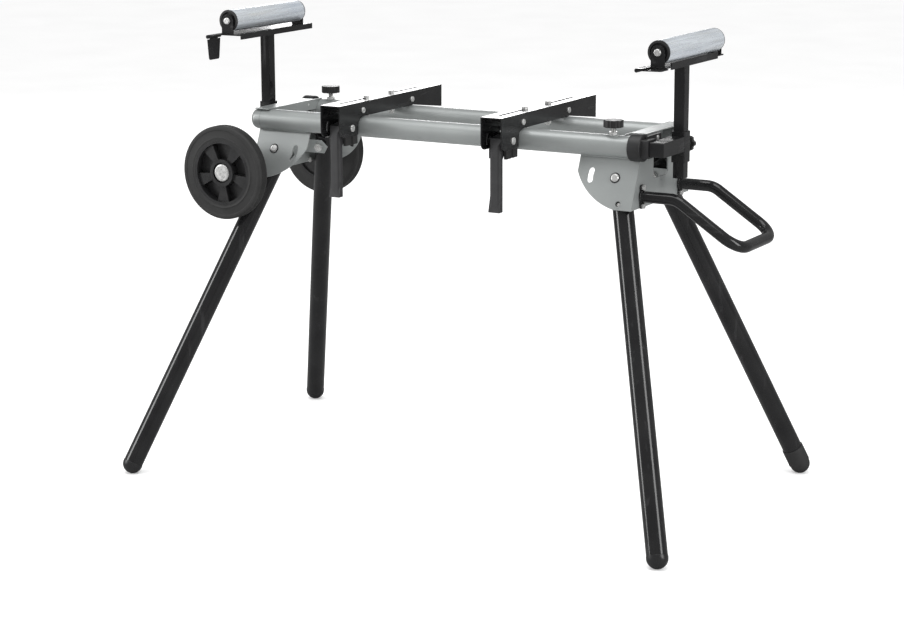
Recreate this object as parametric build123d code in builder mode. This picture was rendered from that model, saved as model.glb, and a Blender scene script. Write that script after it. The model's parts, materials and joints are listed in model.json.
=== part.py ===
from build123d import *
import math
import os

# Miter saw stand with folding legs and two extension arms, in millimetres.
# X runs along the rails, -Y faces the user and Z is up.
# The origin is on the floor, midway between the four feet.

# Whole stand
foot_span_x = 1235
foot_span_y = 730
rail_height = 722
roller_rise = 224
rail_spacing = 184.6
right_roller_drop = 17

# Clearances between mating pieces
weld_gap = 0.1
seat_gap = 0.2
slide_gap = 0.4
pin_gap = 0.08
turn_gap = 0.5
cut_overrun = 6

front_y = -rail_spacing / 2
back_y = rail_spacing / 2

os.makedirs("parts", exist_ok=True)


def save(piece, name):
    """Label a finished piece and write it to its own file."""
    piece.part.label = name
    export_step(piece.part, f"parts/{name}.step")


def half_turned(piece, lift=0):
    """The same piece at the other end of the stand, half a turn about the vertical."""
    with BuildPart() as copy:
        with Locations((0, 0, lift)):
            add(piece.part, rotation=(0, 0, 180))
    return copy


def mirrored(piece, *planes):
    """The same piece on the other side of the stand."""
    shape = piece.part
    for plane in planes:
        shape = shape.mirror(plane)
    with BuildPart() as copy:
        add(shape)
    return copy


def grouped(*pieces):
    """Several separate solids of one kind in one node."""
    with BuildPart() as group:
        for piece in pieces:
            add(piece.part)
    return group


# Rails: two round steel tubes that each hold one extension arm
rail_diameter = 42
rail_wall = 1.5
rail_open_x = 438
rail_blind_inset = 18
rail_blind_x = rail_blind_inset - rail_open_x
rail_radius = rail_diameter / 2
rail_bore_radius = rail_radius - rail_wall
rail_top = rail_height + rail_radius

lock_knob_inset = 61
lock_knob_x = rail_open_x - lock_knob_inset
lock_stud_radius = 4
lock_stud_hole_radius = lock_stud_radius + pin_gap

with BuildPart() as front_rail:
    with BuildSketch(Plane.YZ.offset(rail_blind_x)):
        with Locations((front_y, rail_height)):
            Circle(rail_radius)
            Circle(rail_bore_radius, mode=Mode.SUBTRACT)
    extrude(amount=rail_open_x - rail_blind_x)
    with BuildSketch(Plane.XY.offset(rail_height)):
        with Locations((lock_knob_x, front_y)):
            Circle(lock_stud_hole_radius)
    extrude(amount=rail_diameter, mode=Mode.SUBTRACT)

back_rail = half_turned(front_rail)
save(front_rail, "front_rail")
save(back_rail, "back_rail")

# Rail end caps: plastic plugs with a spigot in the blind end and a domed nose
cap_spigot = 10
cap_straight = 12
cap_length = 24
cap_nub_radius = 5
cap_nub_height = 5
front_cap_plane = Plane(
    origin=(rail_blind_x, front_y, rail_height), x_dir=(-1, 0, 0), z_dir=(0, 1, 0)
)

with BuildPart() as front_end_cap:
    with BuildSketch(front_cap_plane):
        with BuildLine():
            spigot = Polyline(
                (cap_nub_height + cap_length, 0),
                (-cap_spigot, 0),
                (-cap_spigot, rail_bore_radius - weld_gap),
                (weld_gap, rail_bore_radius - weld_gap),
                (weld_gap, rail_radius),
                (cap_straight, rail_radius),
            )
            dome = TangentArc(
                (cap_straight, rail_radius), (cap_length, cap_nub_radius), tangent=(1, 0)
            )
            nub = Polyline(
                (cap_length, cap_nub_radius),
                (cap_length + cap_nub_height, cap_nub_radius),
                (cap_length + cap_nub_height, 0),
            )
        make_face()
    revolve(axis=Axis(front_cap_plane.origin, (1, 0, 0)))

rail_end_caps = grouped(front_end_cap, half_turned(front_end_cap))
save(rail_end_caps, "rail_end_caps")

# Extension arm sizes, needed by the guides that the arms slide in
arm_size = 28
arm_corner = 3
arm_wall = 2
arm_blind_inset = 15
arm_blind_x = rail_blind_x + arm_blind_inset
post_offset = 35.5
post_x = rail_open_x + post_offset
post_size = 22
post_wall = 1.6
sleeve_wall = 2.5
sleeve_inner = post_size + 2 * slide_gap
sleeve_outer = sleeve_inner + 2 * sleeve_wall
arm_end_x = post_x + sleeve_outer / 2

# Arm guides: moulded caps on the open rail ends, with a square nose for the arm
# and a block that reaches into the cross channel
guide_overlap = 22
guide_start_x = rail_open_x - guide_overlap
guide_outer_radius = 26
guide_end_wall = 4
guide_nose_length = 15
guide_nose_wall = 3
guide_edge_round = 2
guide_block_height = 14
guide_block_reach = 68
guide_block_overhang = 2
guide_end_x = rail_open_x + guide_end_wall
guide_block_top = rail_top
guide_block_end_y = front_y + guide_block_reach
arm_passage = arm_size + 2 * slide_gap

# Cross channels: folded strips that join the rails at both ends
channel_inset = 38
channel_web_x = rail_open_x - channel_inset
channel_thickness = 2
channel_depth = 34
channel_height = 21
channel_reach = 14
channel_top = rail_top + weld_gap + channel_thickness
channel_inner_x = channel_web_x + channel_thickness
channel_bottom = channel_top - channel_height

guide_screw_radius = 2.5
guide_screw_head_radius = 4.5
guide_screw_head = 2.5
guide_screw_inset = 17
guide_screw_y = guide_block_end_y - guide_screw_inset
guide_screw_z = guide_block_top - guide_block_height / 2
guide_block_start_x = channel_inner_x + weld_gap
guide_block_end_x = guide_end_x + guide_block_overhang

with BuildPart() as front_arm_guide:
    with BuildSketch(Plane.YZ.offset(guide_start_x)):
        with Locations((front_y, rail_height)):
            Circle(guide_outer_radius)
    extrude(amount=guide_end_x - guide_start_x)
    outer_rims = front_arm_guide.edges().filter_by(GeomType.CIRCLE)
    fillet(outer_rims, guide_edge_round)
    with BuildSketch(Plane.YZ.offset(guide_end_x)):
        with Locations((front_y, rail_height)):
            RectangleRounded(
                arm_passage + 2 * guide_nose_wall,
                arm_passage + 2 * guide_nose_wall,
                arm_corner,
            )
    extrude(amount=guide_nose_length)
    with BuildSketch(Plane.YZ.offset(guide_block_start_x)):
        with Locations((front_y, guide_block_top)):
            Rectangle(
                guide_block_reach, guide_block_height, align=(Align.MIN, Align.MAX)
            )
    extrude(amount=guide_block_end_x - guide_block_start_x)
    with BuildSketch(Plane.YZ.offset(guide_block_start_x - cut_overrun)):
        with Locations((front_y, rail_height)):
            Circle(rail_radius + weld_gap)
    extrude(
        amount=rail_open_x + weld_gap - guide_block_start_x + cut_overrun,
        mode=Mode.SUBTRACT,
    )
    with BuildSketch(Plane.YZ.offset(rail_open_x)):
        with Locations((front_y, rail_height)):
            RectangleRounded(arm_passage, arm_passage, arm_corner)
    extrude(amount=guide_end_wall + guide_nose_length + cut_overrun, mode=Mode.SUBTRACT)
    with BuildSketch(Plane.YZ.offset(guide_block_end_x)):
        with Locations((guide_screw_y, guide_screw_z)):
            Circle(guide_screw_radius + pin_gap)
    extrude(amount=guide_block_start_x - guide_block_end_x, mode=Mode.SUBTRACT)

arm_guides = grouped(front_arm_guide, half_turned(front_arm_guide))
save(arm_guides, "arm_guides")

with BuildPart() as right_cross_channel:
    with BuildSketch(Plane.YZ.offset(channel_web_x)):
        with Locations((0, channel_top)):
            Rectangle(rail_spacing, channel_height, align=(Align.CENTER, Align.MAX))
        with Locations((guide_screw_y, guide_screw_z)):
            Circle(guide_screw_radius + pin_gap, mode=Mode.SUBTRACT)
    extrude(amount=channel_thickness)
    for flange_top, flange_start_y, flange_end_y in (
        (channel_top, front_y + guide_outer_radius + seat_gap, back_y + channel_reach),
        (channel_bottom + channel_thickness, guide_block_end_y + weld_gap, back_y),
    ):
        with BuildSketch(Plane.XY.offset(flange_top)):
            with Locations((channel_web_x, flange_start_y)):
                Rectangle(
                    channel_depth, flange_end_y - flange_start_y, align=(Align.MIN, Align.MIN)
                )
        extrude(amount=-channel_thickness)
    with BuildSketch(Plane.YZ.offset(channel_web_x - cut_overrun)):
        with Locations((front_y, rail_height), (back_y, rail_height)):
            Circle(rail_radius + weld_gap)
    extrude(amount=channel_depth + 2 * cut_overrun, mode=Mode.SUBTRACT)

cross_channels = grouped(right_cross_channel, half_turned(right_cross_channel))
save(cross_channels, "cross_channels")

# Guide screws: pan-head screws that hold the guide blocks to the channel webs
with BuildPart() as front_guide_screw:
    with BuildSketch(Plane.YZ.offset(guide_block_end_x)):
        with Locations((guide_screw_y, guide_screw_z)):
            Circle(guide_screw_head_radius)
    extrude(amount=guide_screw_head)
    head_rim = front_guide_screw.edges().group_by(Axis.X)[-1]
    fillet(head_rim, guide_screw_head / 2)
    with BuildSketch(Plane.YZ.offset(guide_block_end_x)):
        with Locations((guide_screw_y, guide_screw_z)):
            Circle(guide_screw_radius)
    extrude(amount=channel_web_x - guide_block_end_x)

guide_screws = grouped(front_guide_screw, half_turned(front_guide_screw))
save(guide_screws, "guide_screws")

# Leg planes: the D-plates lean outward so that the feet span the full depth
leg_diameter = 40
leg_wall = 1.5
leg_gap = 2.4
foot_radius = 20.5
foot_flat = 0.5
plate_thickness = 2.5
plate_top_offset = 0.5
plate_top_drop = 25
bracket_inset = 5
pivot_inset = 44.5
pivot_drop = 36
plate_top_y = back_y + plate_top_offset
plate_top_z = rail_height - plate_top_drop
bracket_end_x = rail_open_x - bracket_inset
pivot_x = bracket_end_x - pivot_inset
leg_radius = leg_diameter / 2
leg_inset = plate_thickness + leg_gap + leg_radius
foot_centre_x = foot_span_x / 2 - foot_radius
foot_centre_y = foot_span_y / 2 - foot_radius
foot_centre_z = foot_radius - foot_flat
foot_out = foot_centre_y - plate_top_y
foot_down = plate_top_z - foot_centre_z
foot_reach = math.hypot(foot_out, foot_down)
leg_tilt = math.atan2(foot_out, foot_down) + math.asin(leg_inset / foot_reach)
foot_run = math.sqrt(foot_reach**2 - leg_inset**2) - pivot_drop
leg_splay = math.atan2(foot_centre_x - pivot_x, foot_run)
leg_length = math.hypot(foot_centre_x - pivot_x, foot_run)

plate_plane = Plane(
    origin=(0, -plate_top_y, plate_top_z),
    x_dir=(1, 0, 0),
    z_dir=(0, -math.cos(leg_tilt), math.sin(leg_tilt)),
)
leg_direction = (
    plate_plane.x_dir * math.sin(leg_splay) - plate_plane.y_dir * math.cos(leg_splay)
)
pivot_on_plate = plate_plane.from_local_coords(Vector(pivot_x, -pivot_drop, 0))
pivot_plane = Plane(origin=pivot_on_plate, x_dir=(1, 0, 0), z_dir=plate_plane.z_dir)
pivot_centre = pivot_on_plate - plate_plane.z_dir * leg_inset
foot_centre = pivot_centre + leg_direction * leg_length

# Leg brackets: one folded sheet at each end, two D-plates, an end plate with a
# central cut for the post, and two inner tongues that hold the leg pivot bolts
plate_width = 124.5
plate_drop = 97.5
plate_shoulder_share = 0.29
plate_heel_share = 0.71
plate_curve_x_share = 0.277
plate_curve_drop_share = 0.74
plate_weld_reach = 7
pivot_bolt_radius = 5
button_distance = 52
button_radius = 5
lock_slot_width = 12
right_slot_angle = 20
left_slot_angle = 26
right_leg_fold = 109
left_leg_fold = 86
post_cut_width = 66
post_cut_drop = 67
post_cut_round = 10
tongue_length = 66
tongue_height = 31
tongue_nose = 12
handle_inset = 6.7
handle_drop = 93.4
mount_bolt_rise = 17.2
mount_bolt_radius = 3
plate_inner_x = bracket_end_x - plate_width
post_cut_bottom = rail_height - post_cut_drop
handle_y = back_y - handle_inset
handle_z = rail_height - handle_drop
tongue_inset = plate_thickness + 2 * leg_gap + leg_diameter
plate_bottom_z = plate_plane.from_local_coords(Vector(0, -plate_drop, 0)).Z
plate_bottom_y = -plate_plane.from_local_coords(Vector(0, -plate_drop, 0)).Y
plate_weld_z = plate_plane.from_local_coords(Vector(0, plate_weld_reach, 0)).Z
plate_weld_y = -plate_plane.from_local_coords(Vector(0, plate_weld_reach, 0)).Y


def mount_bolt_places():
    """The four bolts that hold the handle or the wheel bracket to an end plate."""
    return [
        (side * handle_y, handle_z + step * mount_bolt_rise)
        for side in (-1, 1)
        for step in (-1, 1)
    ]


def leg_bracket(leg_fold, slot_angle, slot_lead_angle):
    """The right leg bracket, with arc slots where its folded legs lock."""
    button_x = pivot_x + button_distance * math.sin(leg_splay)
    button_drop = pivot_drop + button_distance * math.cos(leg_splay)
    folded_angle = math.degrees(leg_splay) - leg_fold - 90 - slot_lead_angle
    with BuildPart() as front_plate:
        with BuildSketch(plate_plane):
            with BuildLine():
                shoulder = (plate_inner_x, -plate_drop * plate_shoulder_share)
                heel = (plate_inner_x + plate_width * plate_heel_share, -plate_drop)
                curve_middle = (
                    plate_inner_x + plate_width * plate_curve_x_share,
                    -plate_drop * plate_curve_drop_share,
                )
                Polyline(
                    heel,
                    (bracket_end_x, -plate_drop),
                    (bracket_end_x, plate_weld_reach),
                    (plate_inner_x, plate_weld_reach),
                    shoulder,
                )
                ThreePointArc(shoulder, curve_middle, heel)
            make_face()
            with Locations((pivot_x, -pivot_drop)):
                Circle(pivot_bolt_radius + pin_gap, mode=Mode.SUBTRACT)
            with Locations((button_x, -button_drop)):
                Circle(button_radius + slide_gap, mode=Mode.SUBTRACT)
            with BuildLine(mode=Mode.PRIVATE) as slot_path:
                CenterArc(
                    (pivot_x, -pivot_drop),
                    button_distance,
                    folded_angle - slot_angle / 2,
                    slot_angle,
                )
            SlotArc(arc=slot_path.edge(), height=lock_slot_width, mode=Mode.SUBTRACT)
        extrude(amount=-plate_thickness)

    with BuildPart() as front_tongue:
        with BuildSketch(plate_plane.offset(-tongue_inset)):
            with BuildLine():
                tongue_end_x = bracket_end_x - plate_thickness / 2
                nose_x = bracket_end_x - tongue_length
                Polyline(
                    (tongue_end_x, -pivot_drop + tongue_height / 2),
                    (nose_x + tongue_nose, -pivot_drop + tongue_height / 2),
                    (nose_x, -pivot_drop),
                    (nose_x + tongue_nose, -pivot_drop - tongue_height / 2),
                    (tongue_end_x, -pivot_drop - tongue_height / 2),
                    close=True,
                )
            make_face()
            with Locations((pivot_x, -pivot_drop)):
                Circle(pivot_bolt_radius + pin_gap, mode=Mode.SUBTRACT)
        extrude(amount=-plate_thickness)

    with BuildPart() as bracket:
        with BuildSketch(Plane.YZ.offset(bracket_end_x)):
            with BuildLine():
                Polyline(
                    (-plate_bottom_y, plate_bottom_z),
                    (plate_bottom_y, plate_bottom_z),
                    (plate_weld_y, plate_weld_z),
                    (-plate_weld_y, plate_weld_z),
                    close=True,
                )
            make_face()
            with Locations((0, post_cut_bottom)):
                RectangleRounded(
                    post_cut_width,
                    2 * post_cut_drop,
                    post_cut_round,
                    align=(Align.CENTER, Align.MIN),
                    mode=Mode.SUBTRACT,
                )
            with Locations(*mount_bolt_places()):
                Circle(mount_bolt_radius + pin_gap, mode=Mode.SUBTRACT)
        extrude(amount=-plate_thickness)
        for sheet in (front_plate, front_tongue):
            add(sheet.part)
            mirror(sheet.part, about=Plane.XZ)
        with BuildSketch(Plane.YZ.offset(plate_inner_x - cut_overrun)):
            with Locations((front_y, rail_height), (back_y, rail_height)):
                Circle(rail_radius + weld_gap)
        extrude(amount=plate_width + 2 * cut_overrun, mode=Mode.SUBTRACT)
        with BuildSketch(Plane.YZ.offset(guide_start_x - slide_gap)):
            with Locations((front_y, rail_height)):
                Circle(guide_outer_radius + slide_gap)
        extrude(amount=plate_width, mode=Mode.SUBTRACT)
    return bracket


right_leg_bracket = leg_bracket(right_leg_fold, right_slot_angle, 0)
left_leg_bracket = half_turned(
    leg_bracket(left_leg_fold, left_slot_angle, left_slot_angle / 2)
)
save(right_leg_bracket, "right_leg_bracket")
save(left_leg_bracket, "left_leg_bracket")

# Leg pivot bolts: domed heads outside the D-plates, nuts inside the tongues
pivot_head_radius = 8
pivot_head_height = 4
pivot_head_round_share = 0.7
pivot_nut_flats = 16
pivot_nut_height = 6
pivot_bolt_tail = 3
pivot_bolt_length = tongue_inset + plate_thickness + pivot_nut_height + pivot_bolt_tail

with BuildPart() as front_right_pivot_bolt:
    with BuildSketch(pivot_plane):
        Circle(pivot_head_radius)
    extrude(amount=pivot_head_height)
    head_rim = (
        front_right_pivot_bolt.edges()
        .filter_by(GeomType.CIRCLE)
        .sort_by(Axis(pivot_on_plate, plate_plane.z_dir))[-1]
    )
    fillet(head_rim, pivot_head_height * pivot_head_round_share)
    with BuildSketch(pivot_plane):
        Circle(pivot_bolt_radius)
    extrude(amount=-pivot_bolt_length)
    with BuildSketch(pivot_plane.offset(-tongue_inset - plate_thickness)):
        RegularPolygon(pivot_nut_flats / 2, 6, major_radius=False)
    extrude(amount=-pivot_nut_height)

leg_pivot_bolts = grouped(
    front_right_pivot_bolt,
    mirrored(front_right_pivot_bolt, Plane.XZ),
    mirrored(front_right_pivot_bolt, Plane.YZ),
    half_turned(front_right_pivot_bolt),
)
save(leg_pivot_bolts, "leg_pivot_bolts")

# Legs: round tubes that fold about the pivot bolts, with a lock button each
leg_top_reach = 22
foot_band = 4
foot_spigot = 26
foot_spigot_wall = 3
adjust_travel = 10
button_flange_radius = 7
button_flange = 2
button_dome = 3
button_length = 16
leg_plane = Plane(origin=pivot_centre, x_dir=plate_plane.z_dir, z_dir=leg_direction)
button_centre = pivot_centre + leg_direction * button_distance
button_plane = Plane(origin=button_centre, x_dir=(1, 0, 0), z_dir=plate_plane.z_dir)


def leg_tube(end_gap):
    """A front right leg whose lower end stops short of the foot's centre."""
    with BuildPart() as leg:
        with BuildSketch(leg_plane.offset(-leg_top_reach)):
            Circle(leg_radius)
            Circle(leg_radius - leg_wall, mode=Mode.SUBTRACT)
        extrude(amount=leg_top_reach + leg_length - end_gap)
        with BuildSketch(pivot_plane.offset(-leg_inset)):
            Circle(pivot_bolt_radius + pin_gap)
        extrude(amount=leg_diameter, both=True, mode=Mode.SUBTRACT)
        with BuildSketch(button_plane):
            Circle(button_radius + pin_gap)
        extrude(amount=leg_diameter, mode=Mode.SUBTRACT)
    return leg


# The fixed feet are round-nosed plugs with a hollow spigot up inside the leg
with BuildPart() as front_right_foot:
    foot_plane = Plane(origin=foot_centre, x_dir=plate_plane.z_dir, z_dir=-leg_direction)
    with Locations(foot_centre):
        Sphere(foot_radius)
    with BuildSketch(foot_plane):
        Circle(foot_radius)
    extrude(amount=foot_radius, mode=Mode.SUBTRACT)
    with BuildSketch(foot_plane):
        Circle(foot_radius)
    extrude(amount=foot_band)
    spigot_radius = leg_radius - leg_wall - weld_gap
    with BuildSketch(foot_plane.offset(foot_band)):
        Circle(spigot_radius)
        Circle(spigot_radius - foot_spigot_wall, mode=Mode.SUBTRACT)
    extrude(amount=foot_spigot)
    with BuildSketch(Plane.XY):
        with Locations((foot_centre.X, foot_centre.Y)):
            Circle(foot_radius)
    extrude(amount=-foot_radius, mode=Mode.SUBTRACT)

# The adjustable foot has a collar outside, and room above its floor for the leg
adjust_collar_radius = 21.8
adjust_collar = 36
adjust_mouth_round = 1

with BuildPart() as adjustable_foot:
    with BuildSketch(foot_plane):
        Circle(foot_radius)
    extrude(amount=foot_band)
    with BuildSketch(foot_plane.offset(foot_band)):
        Circle(adjust_collar_radius)
    extrude(amount=adjust_collar)
    collar_rim = (
        adjustable_foot.edges()
        .filter_by(GeomType.CIRCLE)
        .sort_by(Axis(foot_centre, -leg_direction))[-1]
    )
    fillet(collar_rim, adjust_mouth_round)
    with Locations(foot_centre):
        Sphere(foot_radius)
    with BuildSketch(foot_plane.offset(2 * foot_band)):
        Circle(leg_radius + pin_gap)
    extrude(amount=adjust_collar, mode=Mode.SUBTRACT)
    with BuildSketch(Plane.XY):
        with Locations((foot_centre.X, foot_centre.Y)):
            Circle(foot_radius)
    extrude(amount=-foot_radius, mode=Mode.SUBTRACT)

with BuildPart() as front_right_button:
    button_rest = leg_radius + leg_gap - turn_gap
    with BuildSketch(button_plane.offset(button_rest)):
        Circle(button_radius)
    extrude(amount=-button_length)
    dome_rim = (
        front_right_button.edges()
        .filter_by(GeomType.CIRCLE)
        .sort_by(Axis(button_centre, plate_plane.z_dir))[-1]
    )
    fillet(dome_rim, button_dome)
    with BuildSketch(button_plane.offset(button_rest - button_length)):
        Circle(button_flange_radius)
    extrude(amount=button_flange)

fixed_leg = leg_tube(foot_band + weld_gap)
adjusted_leg = leg_tube(2 * foot_band + adjust_travel + seat_gap)
leg_sides = {
    "front_right": (),
    "back_right": (Plane.XZ,),
    "front_left": (Plane.YZ,),
    "back_left": (Plane.XZ, Plane.YZ),
}
for place, planes in leg_sides.items():
    adjusts = place == "back_right"
    save(mirrored(adjusted_leg if adjusts else fixed_leg, *planes), f"{place}_leg")
    save(mirrored(adjustable_foot if adjusts else front_right_foot, *planes), f"{place}_foot")
    save(mirrored(front_right_button, *planes), f"{place}_lock_button")

# Carrying handle: a bent tube with a small welded flange at each end
handle_diameter = 22
handle_wall = 1.5
handle_straight = 69
handle_slope_run = 127
handle_slope_drop = 83.6
handle_first_bend = 45
handle_corner_bend = 38
handle_flange = 3
handle_flange_width = 16
handle_flange_height = 46
handle_flange_round = 5
handle_start_x = bracket_end_x + weld_gap + handle_flange
handle_bend_x = handle_start_x + handle_straight
handle_end_x = handle_bend_x + handle_slope_run
handle_end_z = handle_z - handle_slope_drop

with BuildPart() as carry_handle:
    with BuildLine() as handle_path:
        FilletPolyline(
            (handle_start_x, -handle_y, handle_z),
            (handle_bend_x, -handle_y, handle_z),
            (handle_end_x, -handle_y, handle_end_z),
            (handle_end_x, handle_y, handle_end_z),
            (handle_bend_x, handle_y, handle_z),
            (handle_start_x, handle_y, handle_z),
            radius=[
                handle_first_bend,
                handle_corner_bend,
                handle_corner_bend,
                handle_first_bend,
            ],
        )
    with BuildSketch(Plane.YZ.offset(handle_start_x)):
        with Locations((-handle_y, handle_z)):
            Circle(handle_diameter / 2)
            Circle(handle_diameter / 2 - handle_wall, mode=Mode.SUBTRACT)
    sweep()
    with BuildSketch(Plane.YZ.offset(handle_start_x)):
        with Locations((-handle_y, handle_z), (handle_y, handle_z)):
            RectangleRounded(handle_flange_width, handle_flange_height, handle_flange_round)
        with Locations(*mount_bolt_places()):
            Circle(mount_bolt_radius + pin_gap, mode=Mode.SUBTRACT)
    extrude(amount=-handle_flange)

save(carry_handle, "carry_handle")

# Wheel bracket: a pressed U on the left end plate that carries both stub axles
wheel_offset = 24.7
wheel_drop = 101.5
wheel_radius = 96.5
wheel_width = 28
wheel_inner_gap = 25
axle_radius = 6
ear_reach = 52.7
ear_thickness = 3
wheel_centre_x = -bracket_end_x - wheel_offset
wheel_centre_z = rail_height - wheel_drop
ear_y = back_y + ear_reach
wheel_inner_y = ear_y + wheel_inner_gap
wheel_outer_y = wheel_inner_y + wheel_width
ear_nose_radius = 16
wheel_bracket_height = 46
wheel_bracket_face_x = -bracket_end_x - weld_gap
wheel_bracket_bottom = handle_z - wheel_bracket_height / 2
wheel_bracket_top = handle_z + wheel_bracket_height / 2

with BuildPart() as wheel_bracket:
    with BuildSketch(Plane.YZ.offset(wheel_bracket_face_x)):
        with Locations((0, handle_z)):
            Rectangle(2 * ear_y, wheel_bracket_height)
        with Locations(*mount_bolt_places()):
            Circle(mount_bolt_radius + pin_gap, mode=Mode.SUBTRACT)
    extrude(amount=-ear_thickness)
    with BuildSketch(Plane.XZ.offset(ear_y)):
        with BuildLine():
            Polyline(
                (wheel_bracket_face_x, wheel_bracket_top),
                (wheel_bracket_face_x, wheel_bracket_bottom),
                (wheel_centre_x, wheel_centre_z - ear_nose_radius),
            )
            ThreePointArc(
                (wheel_centre_x, wheel_centre_z - ear_nose_radius),
                (wheel_centre_x - ear_nose_radius, wheel_centre_z),
                (wheel_centre_x, wheel_centre_z + ear_nose_radius),
            )
            Line(
                (wheel_centre_x, wheel_centre_z + ear_nose_radius),
                (wheel_bracket_face_x, wheel_bracket_top),
            )
        make_face()
        with Locations((wheel_centre_x, wheel_centre_z)):
            Circle(axle_radius + pin_gap, mode=Mode.SUBTRACT)
    extrude(amount=-ear_thickness)
    mirror(about=Plane.XZ)

save(wheel_bracket, "wheel_bracket")

# Wheel hubs: moulded wheels with five spokes between deep pockets
hub_bore_radius = axle_radius + pin_gap
hub_boss_radius = 28
hub_inner_boss_radius = 14
rim_radius = 67
rim_wall = 6
spoke_recess = 5
pocket_depth = 13
pocket_angle = 46
spoke_count = 5
cap_recess = 5.5
cap_recess_radius = 21
hub_inner_y = ear_y + turn_gap
pocket_outer_radius = rim_radius - rim_wall
wheel_plane = Plane(
    origin=(wheel_centre_x, -wheel_outer_y, wheel_centre_z), x_dir=(1, 0, 0), z_dir=(0, -1, 0)
)
wheel_axis = Axis(wheel_plane.origin, (0, 1, 0))

with BuildPart() as front_wheel_hub:
    with BuildSketch(wheel_plane):
        Circle(rim_radius)
    extrude(amount=-wheel_width)
    with BuildSketch(wheel_plane, wheel_plane.offset(spoke_recess - wheel_width)):
        Circle(pocket_outer_radius)
        Circle(hub_boss_radius, mode=Mode.SUBTRACT)
    extrude(amount=-spoke_recess, mode=Mode.SUBTRACT)
    with BuildSketch(wheel_plane.offset(-spoke_recess)):
        with BuildLine():
            inner_arc = CenterArc((0, 0), hub_boss_radius, -pocket_angle / 2, pocket_angle)
            outer_arc = CenterArc((0, 0), pocket_outer_radius, -pocket_angle / 2, pocket_angle)
            Line(inner_arc @ 0, outer_arc @ 0)
            Line(inner_arc @ 1, outer_arc @ 1)
        pocket = make_face(mode=Mode.PRIVATE)
        with PolarLocations(0, spoke_count, start_angle=90):
            add(pocket)
    extrude(amount=-pocket_depth, mode=Mode.SUBTRACT)
    with BuildSketch(wheel_plane.offset(-wheel_width)):
        Circle(hub_inner_boss_radius)
    extrude(amount=hub_inner_y - wheel_inner_y)
    with BuildSketch(wheel_plane):
        Circle(cap_recess_radius)
    extrude(amount=-cap_recess, mode=Mode.SUBTRACT)
    with BuildSketch(wheel_plane):
        Circle(hub_bore_radius)
    extrude(amount=-2 * wheel_width, mode=Mode.SUBTRACT)

save(front_wheel_hub, "front_wheel_hub")
save(mirrored(front_wheel_hub, Plane.XZ), "back_wheel_hub")

# Tyres: solid rubber rings with a ribbed tread and rounded shoulders
tread_rib_count = 5
tread_groove_depth = 1.6
tread_rib_share = 0.72
shoulder_round = 5
sidewall_step = 1.2
sidewall_margin = 5
tyre_inner_radius = rim_radius + weld_gap
tread_start = wheel_outer_y - shoulder_round
tread_end = wheel_inner_y + shoulder_round
tread_pitch = (tread_start - tread_end) / (tread_rib_count - 1 + tread_rib_share)
shoulder_radius = wheel_radius - shoulder_round
tread_points = []
for rib in range(tread_rib_count):
    rib_start = tread_start - rib * tread_pitch
    rib_end = rib_start - tread_pitch * tread_rib_share
    tread_points += [(rib_start, wheel_radius), (rib_end, wheel_radius)]
    if rib < tread_rib_count - 1:
        groove_radius = wheel_radius - tread_groove_depth
        tread_points += [(rib_end, groove_radius), (rib_start - tread_pitch, groove_radius)]

with BuildPart() as front_tyre:
    tyre_plane = Plane(
        origin=(wheel_centre_x, 0, wheel_centre_z), x_dir=(0, -1, 0), z_dir=(-1, 0, 0)
    )
    with BuildSketch(tyre_plane):
        with BuildLine():
            Polyline(
                (wheel_outer_y, shoulder_radius),
                (wheel_outer_y - sidewall_step, shoulder_radius - sidewall_margin),
                (wheel_outer_y - sidewall_step, tyre_inner_radius + 2 * sidewall_margin),
                (wheel_outer_y, tyre_inner_radius + sidewall_margin),
                (wheel_outer_y, tyre_inner_radius),
                (wheel_inner_y, tyre_inner_radius),
                (wheel_inner_y, shoulder_radius),
            )
            Polyline(*tread_points)
            RadiusArc((wheel_outer_y, shoulder_radius), (tread_start, wheel_radius), -shoulder_round)
            RadiusArc((wheel_inner_y, shoulder_radius), (tread_end, wheel_radius), shoulder_round)
        make_face()
    revolve(axis=wheel_axis)

save(front_tyre, "front_tyre")
save(mirrored(front_tyre, Plane.XZ), "back_tyre")

# Stub axles: shoulder bolts through the bracket ears, with broad domed heads
axle_head_radius = 18
axle_head_height = 5
axle_head_round = 3
axle_nut_flats = 19
axle_nut_height = 8
axle_tail = 3
axle_head_y = wheel_outer_y - cap_recess + turn_gap
ear_inner_y = ear_y - ear_thickness

with BuildPart() as front_axle:
    axle_plane = Plane(
        origin=(wheel_centre_x, -axle_head_y, wheel_centre_z), x_dir=(1, 0, 0), z_dir=(0, -1, 0)
    )
    with BuildSketch(axle_plane):
        Circle(axle_head_radius)
    extrude(amount=axle_head_height)
    fillet(front_axle.edges().group_by(Axis.Y)[0], axle_head_round)
    with BuildSketch(axle_plane):
        Circle(axle_radius)
    extrude(amount=ear_inner_y - axle_nut_height - axle_tail - axle_head_y)
    with BuildSketch(axle_plane.offset(ear_inner_y - axle_head_y)):
        RegularPolygon(axle_nut_flats / 2, 6, major_radius=False)
    extrude(amount=-axle_nut_height)

wheel_axles = grouped(front_axle, mirrored(front_axle, Plane.XZ))
save(wheel_axles, "wheel_axles")

# Mount bolts: hex bolts of the handle and the wheel bracket, nuts inside the plates
mount_head_flats = 10
mount_head_height = 4.5
mount_nut_height = 5
mount_bolt_tail = 1.5


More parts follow.
